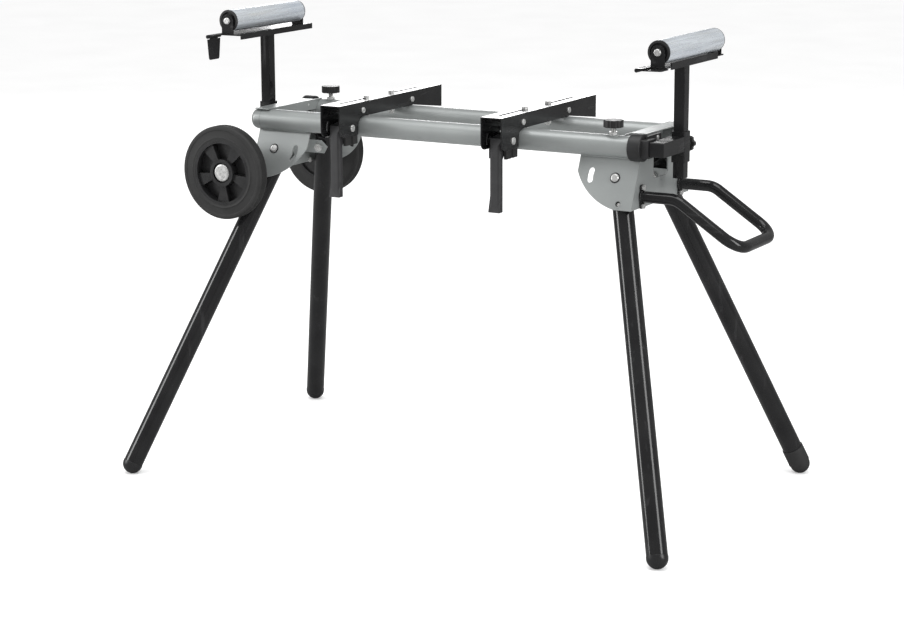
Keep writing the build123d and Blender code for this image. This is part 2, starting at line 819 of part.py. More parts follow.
def mount_bolt(outer_x, inner_x, y, z):
    """A hex bolt along X, from its head outside to its nut inside."""
    outward = math.copysign(1, outer_x)
    with BuildPart() as bolt:
        with BuildSketch(Plane(origin=(outer_x, y, z), z_dir=(outward, 0, 0))):
            RegularPolygon(mount_head_flats / 2, 6, major_radius=False)
        extrude(amount=mount_head_height)
        with BuildSketch(Plane(origin=(outer_x, y, z), z_dir=(outward, 0, 0))):
            Circle(mount_bolt_radius)
        shank = abs(outer_x - inner_x) + mount_nut_height + mount_bolt_tail
        extrude(amount=-shank)
        with BuildSketch(Plane(origin=(inner_x, y, z), z_dir=(outward, 0, 0))):
            RegularPolygon(mount_head_flats / 2, 6, major_radius=False)
        extrude(amount=-mount_nut_height)
    return bolt


bracket_inner_x = bracket_end_x - plate_thickness
mount_bolts = grouped(
    *[mount_bolt(handle_start_x, bracket_inner_x, y, z) for y, z in mount_bolt_places()],
    *[
        mount_bolt(wheel_bracket_face_x - ear_thickness, -bracket_inner_x, y, z)
        for y, z in mount_bolt_places()
    ],
)
save(mount_bolts, "mount_bolts")

# Extension arms: square tube, cross tube and upright sleeve welded together
sleeve_below = 36
sleeve_above = 23
weld_nut_flats = 14
weld_nut_height = 5
post_knob_drop = 5
arm_plug = 3
sleeve_half = sleeve_outer / 2
sleeve_bottom = rail_height - sleeve_below
sleeve_top = rail_height + sleeve_above
post_knob_z = rail_height - post_knob_drop

with BuildPart() as right_arm:
    with BuildSketch(Plane.YZ.offset(arm_blind_x)):
        with Locations((front_y, rail_height)):
            RectangleRounded(arm_size, arm_size, arm_corner)
            Rectangle(arm_size - 2 * arm_wall, arm_size - 2 * arm_wall, mode=Mode.SUBTRACT)
    extrude(amount=arm_end_x - arm_blind_x)
    with BuildSketch(Plane.YZ.offset(arm_end_x)):
        with Locations((front_y, rail_height)):
            Rectangle(arm_size - arm_wall, arm_size - arm_wall)
    extrude(amount=-arm_plug)
    with BuildSketch(Plane.XZ.offset(-front_y - arm_size / 2)):
        with Locations((arm_end_x - arm_size / 2, rail_height)):
            Rectangle(arm_size, arm_size)
    extrude(amount=sleeve_half + front_y + arm_size / 2)
    with BuildSketch(Plane.XY.offset(sleeve_bottom)):
        with Locations((post_x, 0)):
            RectangleRounded(sleeve_outer, sleeve_outer, arm_corner)
    extrude(amount=sleeve_top - sleeve_bottom)
    with BuildSketch(Plane.XY.offset(sleeve_bottom - cut_overrun)):
        with Locations((post_x, 0)):
            Rectangle(sleeve_inner, sleeve_inner)
    extrude(amount=sleeve_top - sleeve_bottom + 2 * cut_overrun, mode=Mode.SUBTRACT)
    with BuildSketch(Plane.XZ.offset(-sleeve_half)):
        with Locations((post_x, post_knob_z)):
            RegularPolygon(weld_nut_flats / 2, 6, major_radius=False)
    extrude(amount=-weld_nut_height)
    with BuildSketch(Plane.XZ):
        with Locations((post_x, post_knob_z)):
            Circle(lock_stud_hole_radius)
    extrude(amount=-sleeve_outer, mode=Mode.SUBTRACT)

save(right_arm, "right_arm")
save(half_turned(right_arm), "left_arm")


# Star knobs: fluted plastic heads on studs that press on the post or the arm
def star_knob(plane, head_radius, head_height, neck_height, stud_length, lobes, flute_radius):
    """A lobed head above a short neck, with its stud reaching down from the plane."""
    with BuildPart() as knob:
        with BuildSketch(plane.offset(neck_height)):
            Circle(head_radius)
            with PolarLocations(head_radius + flute_radius / 2, lobes):
                Circle(flute_radius, mode=Mode.SUBTRACT)
        extrude(amount=head_height)
        with BuildSketch(plane):
            Circle(head_radius / 2)
        extrude(amount=neck_height)
        with BuildSketch(plane):
            Circle(lock_stud_radius)
        extrude(amount=-stud_length)
    return knob


stud_show = 7
post_knob_radius = 15
post_knob_height = 10
post_knob_neck = 2
post_knob_flute = 5
post_knob_lobes = 6
post_knob_y = sleeve_half + weld_nut_height + stud_show
post_knob_plane = Plane(origin=(post_x, post_knob_y, post_knob_z), z_dir=(0, 1, 0))
post_stud_length = post_knob_y - post_size / 2 - slide_gap / 2
right_post_knob = star_knob(
    post_knob_plane,
    post_knob_radius,
    post_knob_height,
    post_knob_neck,
    post_stud_length,
    post_knob_lobes,
    post_knob_flute,
)
save(right_post_knob, "right_post_knob")
save(half_turned(right_post_knob), "left_post_knob")

arm_knob_radius = 19
arm_knob_height = 14
arm_knob_neck = 1.5
arm_knob_flute = 4
arm_knob_lobes = 8
boss_flats = 15
boss_height = 6
boss_top_z = rail_top + boss_height
arm_knob_z = boss_top_z + stud_show
arm_knob_plane = Plane(origin=(lock_knob_x, front_y, arm_knob_z))
arm_stud_length = arm_knob_z - rail_height - arm_size / 2 - seat_gap
right_arm_knob = star_knob(
    arm_knob_plane,
    arm_knob_radius,
    arm_knob_height,
    arm_knob_neck,
    arm_stud_length,
    arm_knob_lobes,
    arm_knob_flute,
)
save(right_arm_knob, "right_arm_knob")
save(half_turned(right_arm_knob), "left_arm_knob")

# Lock bosses: threaded hex bosses welded on the rails below the arm lock knobs
with BuildPart() as front_lock_boss:
    with BuildSketch(Plane.XY.offset(boss_top_z)):
        with Locations((lock_knob_x, front_y)):
            RegularPolygon(boss_flats / 2, 6, major_radius=False)
            Circle(lock_stud_hole_radius, mode=Mode.SUBTRACT)
    extrude(amount=-boss_height - rail_radius / 2)
    with BuildSketch(Plane.YZ.offset(lock_knob_x - boss_flats)):
        with Locations((front_y, rail_height)):
            Circle(rail_radius + weld_gap)
    extrude(amount=2 * boss_flats, mode=Mode.SUBTRACT)

lock_bosses = grouped(front_lock_boss, half_turned(front_lock_boss))
save(lock_bosses, "lock_bosses")

# Roller heads: post, pressed bracket with two ears, roller, caps, axle, stop flap
roller_radius = 22.5
roller_wall = 2
roller_length = 246
roller_offset = 9.5
roller_drop = 27
head_plate = 2.5
head_plate_half = 131
head_inner_edge = 28
ear_width = 28
ear_inner = 127
ear_sheet = 2.5
roller_axle_radius = 4
axle_cap_radius = 7
axle_cap_height = 4
roller_cap_length = 12
roller_cap_flange = 2.5
roller_cap_recess = 5
roller_cap_rim = 3
roller_cap_boss_radius = 9
post_tail = 31
hinge_pin_radius = 2
flap_sheet = 2
flap_front = 161
flap_back = 117
flap_length = 48
flap_knuckle = 8
flap_taper = 5
flap_round = 5
flap_neck = 5.5
tongue_width = 14
left_lip_reach = 36
left_lip_half = 131
left_lip_above = 2
left_lip_below = 7
right_lip_reach = 17.5
right_lip_half = 105
right_lip_above = 6.5
right_lip_below = 4
left_axis_z = rail_height + roller_rise - roller_radius
right_axis_z = left_axis_z - right_roller_drop
post_length = right_axis_z - roller_drop - head_plate - sleeve_bottom + post_tail
hinge_radius = head_plate + slide_gap + flap_sheet / 2
hinge_drop = roller_drop + hinge_radius
flap_middle = (flap_front + flap_back) / 2
flap_width = flap_front - flap_back
roller_half = roller_length / 2
ear_outer = ear_inner + ear_sheet


def roller_bracket(head_x, axis_z, lip_reach, lip_half, lip_above, lip_below):
    """The pressed bracket on top of a post, with a lip on its right edge."""
    plate_top = axis_z - roller_drop
    with BuildPart() as bracket:
        with BuildSketch(Plane.XY.offset(plate_top)):
            with Locations((head_x - head_inner_edge, 0)):
                Rectangle(
                    head_inner_edge + lip_reach,
                    2 * head_plate_half,
                    align=(Align.MIN, Align.CENTER),
                )
            with Locations((head_x - head_inner_edge, -flap_front)):
                Rectangle(
                    tongue_width, flap_front - head_plate_half, align=(Align.MIN, Align.MIN)
                )
        extrude(amount=-head_plate)
        with BuildSketch(Plane.YZ.offset(head_x + lip_reach)):
            with Locations((0, plate_top + lip_above)):
                Rectangle(
                    2 * lip_half,
                    lip_above + lip_below + head_plate,
                    align=(Align.CENTER, Align.MAX),
                )
        extrude(amount=-head_plate)
        with BuildSketch(Plane.XZ.offset(ear_outer), Plane.XZ.offset(-ear_inner)):
            with Locations((head_x, axis_z)):
                Circle(ear_width / 2)
                Rectangle(ear_width, roller_drop, align=(Align.CENTER, Align.MAX))
                Circle(roller_axle_radius + pin_gap, mode=Mode.SUBTRACT)
        extrude(amount=-ear_sheet)
        knuckle_plane = Plane.XZ.offset(flap_front)
        with BuildSketch(knuckle_plane):
            with Locations((head_x - head_inner_edge, axis_z - hinge_drop)):
                Circle(hinge_radius)
        extrude(amount=-flap_width)
        with BuildSketch(knuckle_plane):
            with Locations((head_x - head_inner_edge, axis_z - hinge_drop)):
                Circle(hinge_pin_radius + pin_gap)
        extrude(amount=-flap_width, mode=Mode.SUBTRACT)
        with BuildSketch(knuckle_plane.offset(-flap_knuckle)):
            with Locations((head_x - head_inner_edge, plate_top)):
                Rectangle(
                    2 * (hinge_radius + slide_gap),
                    2 * (2 * hinge_radius + slide_gap),
                )
        extrude(amount=2 * flap_knuckle - flap_width, mode=Mode.SUBTRACT)
    return bracket


def stop_flap(head_x, axis_z, face_normal):
    """A tapered flap on its hinge pin; the normal says which way its face looks."""
    hinge = Vector(head_x - head_inner_edge, -flap_middle, axis_z - hinge_drop)
    with BuildPart() as flap:
        with BuildSketch(Plane(origin=hinge, x_dir=(0, 1, 0), z_dir=face_normal)):
            with BuildLine():
                half_top = flap_width / 2
                half_neck = half_top - flap_knuckle - slide_gap
                half_bottom = half_top - flap_taper
                Polyline(
                    (-half_neck, 0),
                    (-half_neck, -flap_neck),
                    (-half_top, -flap_neck),
                    (-half_bottom, -flap_length),
                    (half_bottom, -flap_length),
                    (half_top, -flap_neck),
                    (half_neck, -flap_neck),
                    (half_neck, 0),
                    close=True,
                )
            face = make_face()
            fillet(face.vertices().group_by(Axis.Y)[0], flap_round)
        extrude(amount=flap_sheet / 2, both=True)
        with BuildSketch(Plane.XZ.offset(flap_middle)):
            with Locations((hinge.X, hinge.Z)):
                Circle(hinge_radius)
        extrude(amount=half_neck, both=True)
        with BuildSketch(Plane.XZ.offset(flap_middle)):
            with Locations((hinge.X, hinge.Z)):
                Circle(hinge_pin_radius)
        extrude(amount=half_top, both=True)
    return flap


def roller_tube(head_x, axis_z):
    """The zinc-plated roller tube."""
    with BuildPart() as tube:
        with BuildSketch(Plane.XZ.offset(roller_half)):
            with Locations((head_x, axis_z)):
                Circle(roller_radius)
                Circle(roller_radius - roller_wall, mode=Mode.SUBTRACT)
        extrude(amount=-roller_length)
    return tube


def roller_caps(head_x, axis_z):
    """The two recessed plastic caps that carry the roller on its axle."""
    flange_start = Plane.XZ.offset(roller_half + weld_gap)
    cap_face = Plane.XZ.offset(roller_half + weld_gap + roller_cap_flange)
    with BuildPart() as caps:
        with BuildSketch(flange_start):
            with Locations((head_x, axis_z)):
                Circle(roller_radius - roller_wall - weld_gap)
        extrude(amount=-roller_cap_length)
        with BuildSketch(flange_start):
            with Locations((head_x, axis_z)):
                Circle(roller_radius)
        extrude(amount=roller_cap_flange)
        with BuildSketch(cap_face):
            with Locations((head_x, axis_z)):
                Circle(roller_radius - roller_wall - roller_cap_rim)
                Circle(roller_cap_boss_radius, mode=Mode.SUBTRACT)
        extrude(amount=-roller_cap_recess, mode=Mode.SUBTRACT)
        with BuildSketch(flange_start):
            with Locations((head_x, axis_z)):
                Circle(roller_cap_boss_radius)
        extrude(amount=ear_inner - turn_gap - roller_half - weld_gap)
        with BuildSketch(Plane.XZ.offset(ear_inner)):
            with Locations((head_x, axis_z)):
                Circle(roller_axle_radius + pin_gap)
        extrude(amount=-ear_inner, mode=Mode.SUBTRACT)
        mirror(about=Plane.XZ)
    return caps


def roller_axle(head_x, axis_z):
    """A rod through both ears with a domed head riveted on each end."""
    with BuildPart() as axle:
        with BuildSketch(Plane.XZ.offset(ear_outer)):
            with Locations((head_x, axis_z)):
                Circle(roller_axle_radius)
        extrude(amount=-2 * ear_outer)
        with BuildSketch(Plane.XZ.offset(ear_outer)):
            with Locations((head_x, axis_z)):
                Circle(axle_cap_radius)
        extrude(amount=axle_cap_height)
        fillet(axle.edges().group_by(Axis.Y)[0], axle_cap_height / 2)
        with BuildSketch(Plane.XZ.offset(-ear_outer)):
            with Locations((head_x, axis_z)):
                Circle(axle_cap_radius)
        extrude(amount=-axle_cap_height)
    return axle


def post(centre_x, bottom_z, top_z):
    """The square tube that rises from the arm's sleeve."""
    with BuildPart() as tube:
        with BuildSketch(Plane.XY.offset(bottom_z)):
            with Locations((centre_x, 0)):
                RectangleRounded(post_size, post_size, post_wall)
                Rectangle(post_size - 2 * post_wall, post_size - 2 * post_wall, mode=Mode.SUBTRACT)
        extrude(amount=top_z - bottom_z)
    return tube


for side, axis_z, direction, lip, flap_normal in (
    (
        "right",
        right_axis_z,
        1,
        (right_lip_reach, right_lip_half, right_lip_above, right_lip_below),
        (0, 0, 1),
    ),
    (
        "left",
        left_axis_z,
        -1,
        (left_lip_reach, left_lip_half, left_lip_above, left_lip_below),
        (1, 0, 0),
    ),
):
    roller_x = direction * (post_x + roller_offset)
    post_top = axis_z - roller_drop - head_plate
    save(post(direction * post_x, post_top - post_length, post_top), f"{side}_post")
    save(roller_bracket(roller_x, axis_z, *lip), f"{side}_roller_bracket")
    save(stop_flap(roller_x, axis_z, flap_normal), f"{side}_stop_flap")
    save(roller_tube(roller_x, axis_z), f"{side}_roller")
    save(roller_caps(roller_x, axis_z), f"{side}_roller_caps")
    save(roller_axle(roller_x, axis_z), f"{side}_roller_axle")

# Saw brackets: folded channels across both rails, open below and in front
left_bracket_x = -199.2
right_bracket_x = 164.8
bracket_width = 46
bracket_sheet = 2.5
bracket_front_reach = 91.7
bracket_back_reach = 121.7
bracket_rise = 50.6
bracket_front_drop = 13.5
bracket_tail_reach = 4.7
bracket_tail_rise = 4.5
bracket_corner_round = 14
bracket_front = back_y + bracket_front_reach
bracket_back = back_y + bracket_back_reach
bracket_top = rail_height + bracket_rise
bracket_front_bottom = rail_height - bracket_front_drop
bracket_tail_start = back_y + bracket_tail_reach
bracket_tail_bottom = rail_height + bracket_tail_rise
rail_ride_gap = 0.3
arch_clearance = 3
arch_round = 20
slot_width = 8.5
slot_length = 116
front_slot_reach = 7.7
back_slot_reach = 5.7
front_slot_y = front_y - front_slot_reach
back_slot_y = back_y + back_slot_reach
lever_pivot_reach = 46.7
lever_pivot_rise = 2
lever_pivot_y = front_y - lever_pivot_reach
lever_pivot_z = rail_height + lever_pivot_rise
lever_pin_radius = 4
cross_bolt_radius = 3
cross_bolt_head = 3
cross_bolt_inset = 17
cross_bolt_shift = 6
cross_bolt_z = bracket_top - cross_bolt_inset
cross_bolt_places = ((front_y - cross_bolt_shift, cross_bolt_z), (back_y, cross_bolt_z))
guide_slot_radius = 25
guide_slot_width = 4
guide_slot_start_angle = 150
guide_slot_sweep_angle = 42
arch_radius = rail_radius + rail_ride_gap
bracket_bottom = rail_height + arch_radius


def saw_bracket(centre_x):
    """One folded channel with its arch over the front rail and slots in the top."""
    with BuildPart() as bracket:
        with BuildSketch(Plane.YZ.offset(centre_x - bracket_width / 2)) as flange_sketch:
            with BuildLine():
                arch_start_y = front_y - arch_radius - arch_clearance
                Polyline(
                    (arch_start_y, bracket_bottom - arch_round),
                    (arch_start_y, bracket_front_bottom),
                    (-bracket_front, bracket_front_bottom),
                    (-bracket_front, bracket_top),
                    (bracket_back, bracket_top),
                    (bracket_back, bracket_tail_bottom),
                    (bracket_tail_start, bracket_bottom),
                    (arch_start_y + arch_round, bracket_bottom),
                )
                arch_bulge = arch_round - arch_round / math.sqrt(2)
                ThreePointArc(
                    (arch_start_y, bracket_bottom - arch_round),
                    (arch_start_y + arch_bulge, bracket_bottom - arch_bulge),
                    (arch_start_y + arch_round, bracket_bottom),
                )
            make_face()
            front_corner = flange_sketch.vertices().sort_by(Axis.X)[0:2].sort_by(Axis.Y)[0]
            fillet(front_corner, bracket_corner_round)
        extrude(amount=bracket_width)
        with BuildSketch(Plane.XZ.offset(bracket_front + cut_overrun)):
            with Locations((centre_x, bracket_top - bracket_sheet)):
                Rectangle(
                    bracket_width - 2 * bracket_sheet,
                    bracket_top,
                    align=(Align.CENTER, Align.MAX),
                )
        extrude(amount=-bracket_front - bracket_back - 2 * cut_overrun, mode=Mode.SUBTRACT)
        with BuildSketch(Plane.XY.offset(bracket_top)):
            with Locations((centre_x, front_slot_y), (centre_x, back_slot_y)):
                SlotOverall(slot_length, slot_width, rotation=90)
        extrude(amount=-2 * bracket_sheet, mode=Mode.SUBTRACT)
        with BuildSketch(Plane.YZ.offset(centre_x - bracket_width)):
            with Locations((lever_pivot_y, lever_pivot_z)):
                Circle(lever_pin_radius + pin_gap)
            with Locations(*cross_bolt_places):
                Circle(cross_bolt_radius + pin_gap)
        extrude(amount=2 * bracket_width, mode=Mode.SUBTRACT)
        with BuildSketch(Plane.YZ.offset(centre_x - bracket_width)):
            with BuildLine(mode=Mode.PRIVATE) as guide_path:
                CenterArc(
                    (lever_pivot_y, lever_pivot_z),
                    guide_slot_radius,
                    guide_slot_start_angle,
                    guide_slot_sweep_angle,
                )
            SlotArc(arc=guide_path.edge(), height=guide_slot_width)
        extrude(amount=bracket_width, mode=Mode.SUBTRACT)
    return bracket


# Clamp levers: plastic handles whose eccentric boss drives the clamp jaw
lever_boss_radius = 10.5
lever_cam_offset = 2.5
lever_width = 24
lever_thickness = 16
lever_handle_offset = 24
lever_length = 136
lever_shoulder_drop = 12
lever_handle_y = lever_pivot_y - lever_handle_offset
lever_bottom = lever_pivot_z - lever_length
lever_round = 6.5
lever_flare = 3
lever_flare_height = 12


def clamp_lever(centre_x):
    """A lever that hangs below its pivot, with a flared lower end."""
    with BuildPart() as lever:
        with BuildSketch(Plane.YZ.offset(centre_x - lever_width / 2)):
            with Locations((lever_pivot_y + lever_cam_offset, lever_pivot_z)):
                Circle(lever_boss_radius)
            handle_front = lever_handle_y - lever_thickness / 2
            handle_back = lever_handle_y + lever_thickness / 2
            with BuildLine():
                Polyline(
                    (lever_pivot_y, lever_pivot_z + lever_boss_radius),
                    (handle_front + lever_round, lever_pivot_z + lever_round),
                    (handle_front, lever_pivot_z - lever_round),
                    (handle_front, lever_bottom + lever_flare_height),
                    (handle_front - lever_flare, lever_bottom),
                    (handle_back, lever_bottom),
                    (handle_back, lever_pivot_z - lever_thickness - lever_shoulder_drop),
                    (lever_pivot_y, lever_pivot_z - lever_boss_radius),
                    close=True,
                )
            make_face()
        extrude(amount=lever_width)
        handle_edges = (
            lever.edges()
            .filter_by(Axis.Z)
            .filter_by(lambda edge: edge.length > lever_length / 2)
        )
        fillet(handle_edges, lever_round)
        with BuildSketch(Plane.YZ.offset(centre_x - lever_width)):
            with Locations((lever_pivot_y, lever_pivot_z)):
                Circle(lever_pin_radius + pin_gap)
        extrude(amount=2 * lever_width, mode=Mode.SUBTRACT)
    return lever


# Clamp jaws: plastic blocks in the channel that the cam presses against the rail
jaw_width = 39
jaw_depth = 44.3
jaw_below = 32
jaw_above = 14
jaw_cheek_drop = 10
jaw_slot_gap = 1.2
jaw_web_gap = 0.7
jaw_rib_depth = 2
jaw_rib_width = 6
jaw_back = rail_radius + slide_gap - front_y
jaw_front = jaw_back + jaw_depth
jaw_bottom = rail_height - jaw_below
jaw_top = rail_height + jaw_above
jaw_cheek_top = rail_height - jaw_cheek_drop


def clamp_jaw(centre_x):
    """Two cheeks beside the lever, joined by the web that the cam pushes."""
    with BuildPart() as jaw:
        with BuildSketch(Plane.XY.offset(jaw_bottom)):
            with Locations((centre_x, -jaw_back)):
                Rectangle(jaw_width, jaw_front - jaw_back, align=(Align.CENTER, Align.MAX))
        extrude(amount=jaw_top - jaw_bottom)
        with BuildSketch(Plane.XY.offset(jaw_bottom - cut_overrun)):
            web_front = lever_pivot_y + lever_cam_offset + lever_boss_radius + jaw_web_gap
            with Locations((centre_x, web_front)):
                Rectangle(
                    lever_width + 2 * jaw_slot_gap,
                    jaw_front,
                    align=(Align.CENTER, Align.MAX),
                )
        extrude(amount=jaw_top, mode=Mode.SUBTRACT)
        with BuildSketch(Plane.YZ.offset(centre_x - jaw_width)):
            with Locations((-jaw_front - cut_overrun, jaw_cheek_top)):
                Rectangle(
                    jaw_front + cut_overrun + web_front,
                    jaw_top,
                    align=(Align.MIN, Align.MIN),
                )
        extrude(amount=2 * jaw_width, mode=Mode.SUBTRACT)
        with BuildSketch(Plane.XY.offset(jaw_bottom - cut_overrun)):
            side_reach = jaw_width / 2
            rib_middle = -(jaw_front + jaw_back) / 2
            with Locations((centre_x - side_reach, rib_middle), (centre_x + side_reach, rib_middle)):
                Rectangle(2 * jaw_rib_depth, jaw_rib_width)
        extrude(amount=jaw_top, mode=Mode.SUBTRACT)
        with BuildSketch(Plane.YZ.offset(centre_x - jaw_width)):
            with Locations((front_y, rail_height)):
                Circle(arch_radius)
        extrude(amount=2 * jaw_width, mode=Mode.SUBTRACT)
    return jaw


def cross_bolt(centre_x, y, z, radius):
    """A bolt along X through both flanges of a saw bracket."""
    half = bracket_width / 2
    with BuildPart() as bolt:
        with BuildSketch(Plane.YZ.offset(centre_x - half)):
            with Locations((y, z)):
                Circle(radius)
        extrude(amount=bracket_width)
        with BuildSketch(Plane.YZ.offset(centre_x + half)):
            with Locations((y, z)):
                Circle(radius + cross_bolt_head)
        extrude(amount=cross_bolt_head)
        fillet(bolt.edges().group_by(Axis.X)[-1], cross_bolt_head / 2)
        with BuildSketch(Plane.YZ.offset(centre_x - half)):
            with Locations((y, z)):
                RegularPolygon(radius + cross_bolt_head, 6, major_radius=False)
        extrude(amount=-cross_bolt_head)
    return bolt


# Tool bolts: bolts that hang in the top slots with a nut near their lower ends
tool_bolt_radius = 4
tool_bolt_head_flats = 13
tool_bolt_head = 5.5
tool_bolt_length = 42.6
tool_bolt_tail = 3
tool_nut_height = 6
tool_bolt_inset = 44.3
tool_bolt_bottom = bracket_top - tool_bolt_length
tool_nut_bottom = tool_bolt_bottom + tool_bolt_tail


def tool_bolt(centre_x, y):
    """A hex bolt standing through a slot, with its nut below."""
    with BuildPart() as bolt:
        with BuildSketch(Plane.XY.offset(bracket_top)):
            with Locations((centre_x, y)):
                RegularPolygon(tool_bolt_head_flats / 2, 6, major_radius=False)
        extrude(amount=tool_bolt_head)
        with BuildSketch(Plane.XY.offset(tool_bolt_bottom)):
            with Locations((centre_x, y)):
                Circle(tool_bolt_radius)
        extrude(amount=bracket_top - tool_bolt_bottom)
        with BuildSketch(Plane.XY.offset(tool_nut_bottom)):
            with Locations((centre_x, y)):
                RegularPolygon(tool_bolt_head_flats / 2, 6, major_radius=False)
        extrude(amount=tool_nut_height)
    return bolt


for side, bracket_x in (("left", left_bracket_x), ("right", right_bracket_x)):
    save(saw_bracket(bracket_x), f"{side}_saw_bracket")
    save(clamp_lever(bracket_x), f"{side}_clamp_lever")
    save(clamp_jaw(bracket_x), f"{side}_clamp_jaw")
    cross_bolts = grouped(
        cross_bolt(bracket_x, lever_pivot_y, lever_pivot_z, lever_pin_radius),
        *[cross_bolt(bracket_x, y, z, cross_bolt_radius) for y, z in cross_bolt_places],
    )
    save(cross_bolts, f"{side}_cross_bolts")
    save(tool_bolt(bracket_x, front_y + tool_bolt_inset), f"{side}_front_tool_bolt")
    save(tool_bolt(bracket_x, back_y - tool_bolt_inset), f"{side}_back_tool_bolt")
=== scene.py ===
import json
import math
import bmesh
import bpy
from mathutils import Matrix, Vector


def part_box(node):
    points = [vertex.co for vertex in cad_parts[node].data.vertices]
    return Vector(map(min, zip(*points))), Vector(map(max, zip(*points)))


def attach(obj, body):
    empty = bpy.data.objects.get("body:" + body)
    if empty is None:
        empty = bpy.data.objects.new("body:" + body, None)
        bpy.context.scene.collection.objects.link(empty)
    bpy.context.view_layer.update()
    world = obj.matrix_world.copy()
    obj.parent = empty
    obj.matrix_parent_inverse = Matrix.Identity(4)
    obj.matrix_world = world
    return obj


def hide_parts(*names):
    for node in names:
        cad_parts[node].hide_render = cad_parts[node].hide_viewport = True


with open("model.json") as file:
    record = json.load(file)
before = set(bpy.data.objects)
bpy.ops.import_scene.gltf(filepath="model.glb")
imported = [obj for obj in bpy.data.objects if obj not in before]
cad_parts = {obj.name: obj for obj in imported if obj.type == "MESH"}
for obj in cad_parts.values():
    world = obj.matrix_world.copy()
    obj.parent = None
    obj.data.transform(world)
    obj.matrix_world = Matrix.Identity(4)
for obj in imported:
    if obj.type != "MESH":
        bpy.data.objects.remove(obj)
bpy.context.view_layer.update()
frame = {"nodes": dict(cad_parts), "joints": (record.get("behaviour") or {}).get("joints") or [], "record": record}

MM = 0.001

# Camera
# The stand is seen from its right front corner, a little above the rails, from
# about four and a half metres away, so the uprights stay almost parallel.
photo_width = 904
photo_height = 631
axis_pixel_x = 380
axis_pixel_y = 282.8
focal_pixels = 2268.9
heading = math.radians(-31.941)
tilt = math.radians(-12.105)
roll = math.radians(-0.609)
camera = bpy.data.objects.new("camera", bpy.data.cameras.new("camera"))
camera.data.sensor_width = 36
camera.data.lens = focal_pixels / photo_width * camera.data.sensor_width
camera.data.shift_x = (photo_width / 2 - axis_pixel_x) / photo_width
camera.data.shift_y = (axis_pixel_y - photo_height / 2) / photo_width
camera.data.clip_end = 60
stand_to_camera = Vector((2.2408, -3.9176, 1.3705))
facing = Matrix.Rotation(-heading, 4, "Z") @ Matrix.Rotation(math.pi / 2 + tilt, 4, "X")
camera.matrix_world = Matrix.Translation(stand_to_camera) @ facing @ Matrix.Rotation(roll, 4, "Z")
bpy.context.scene.collection.objects.link(camera)
bpy.context.scene.camera = camera

# Rails
# Two 42 mm steel tubes, cut square, degreased and sprayed with silver-grey metallic
# paint. Each carries one square extension arm and the folded brackets weld to them.


class Wire:
    """A socket of a shader tree. Sums and products with it add the Math nodes."""

    def __init__(self, tree, socket):
        self.tree = tree
        self.socket = socket

    def combine(self, operation, first, second):
        node = self.tree.nodes.new("ShaderNodeMath")
        node.operation = operation
        for socket, value in zip(node.inputs, (first, second)):
            if isinstance(value, Wire):
                self.tree.links.new(value.socket, socket)
            else:
                socket.default_value = value
        return Wire(self.tree, node.outputs[0])

    def __add__(self, other):
        return self.combine("ADD", self, other)

    def __radd__(self, other):
        return self.combine("ADD", other, self)

    def __mul__(self, other):
        return self.combine("MULTIPLY", self, other)


class Finish:
    """One material on a Principled shader, and the method that adds any other node."""

    def __init__(self, name, **uniform):
        self.material = bpy.data.materials.new(name)
        self.material.use_nodes = True
        self.tree = self.material.node_tree
        self.shader = self.tree.nodes["Principled BSDF"]
        for socket, value in uniform.items():
            self.shader.inputs[socket.replace("_", " ")].default_value = value
        self.place = self.node("ShaderNodeTexCoord", output="Object")

    def node(self, kind, settings=None, sockets=None, output=0, stops=None):
        node = self.tree.nodes.new(kind)
        for name, value in (settings or {}).items():
            setattr(node, name, value)
        if stops:
            for element, (position, level) in zip(node.color_ramp.elements, stops):
                element.position = position
                element.color = (level, level, level, 1)
        for name, value in (sockets or {}).items():
            if isinstance(value, Wire):
                self.tree.links.new(value.socket, node.inputs[name])
            else:
                node.inputs[name].default_value = value
        return Wire(self.tree, node.outputs[output])

    def noise(self, scale, stretch=(1, 1, 1), detail=2.0, low=0.3, high=0.7):
        """Noise of so many cells a metre, drawn out along an axis, between 0 and 1."""
        where = self.node("ShaderNodeMapping", {}, {"Vector": self.place, "Scale": stretch})
        values = {"Vector": where, "Scale": scale, "Detail": detail}
        grain = self.node("ShaderNodeTexNoise", {}, values)
        return self.node("ShaderNodeValToRGB", {}, {"Fac": grain}, stops=((low, 0), (high, 1)))

    def blend(self, share, first, second):
        """A colour between two colours."""
        return self.node("ShaderNodeMix", {"data_type": "RGBA"}, {0: share, 6: first, 7: second}, 2)

    def feed(self, **sockets):
        for name, wire in sockets.items():
            self.tree.links.new(wire.socket, self.shader.inputs[name.replace("_", " ")])

    def relief(self, height, depth, strength=1.0):
        """Fine relief of the surface, with its depth in metres."""
        values = {"Height": height, "Distance": depth, "Strength": strength}
        self.feed(Normal=self.node("ShaderNodeBump", {}, values))


def grey_paint():
    """Metallic silver-grey spray paint with fine flakes over a faint orange peel."""
    paint = Finish("silver_grey_paint", Coat_Weight=0.35, Coat_Roughness=0.22)
    cloud = paint.noise(7, detail=3)
    flake = paint.noise(2600, low=0.56, high=0.74)
    peel = paint.noise(420, detail=1)
    scuff = paint.noise(60, stretch=(0.12, 1, 1), detail=6, low=0.62, high=0.72)
    base = paint.blend(cloud, (0.272, 0.287, 0.284, 1), (0.318, 0.335, 0.331, 1))
    sparkle = paint.blend(flake * 0.5, base, (0.52, 0.54, 0.54, 1))
    worn = paint.blend(scuff * 0.18, sparkle, (0.21, 0.22, 0.22, 1))
    paint.feed(Base_Color=worn, Metallic=0.42 + flake * 0.25)
    paint.feed(Roughness=0.36 + cloud * 0.07 + scuff * 0.12)
    paint.relief(peel + flake * 0.3, 0.02 * MM, 0.5)
    return paint.material


def painted(material, slot_name, *names):
    """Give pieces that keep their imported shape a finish."""
    for name in names:
        piece = frame["nodes"][name]
        piece.data.materials.clear()
        piece.data.materials.append(material)


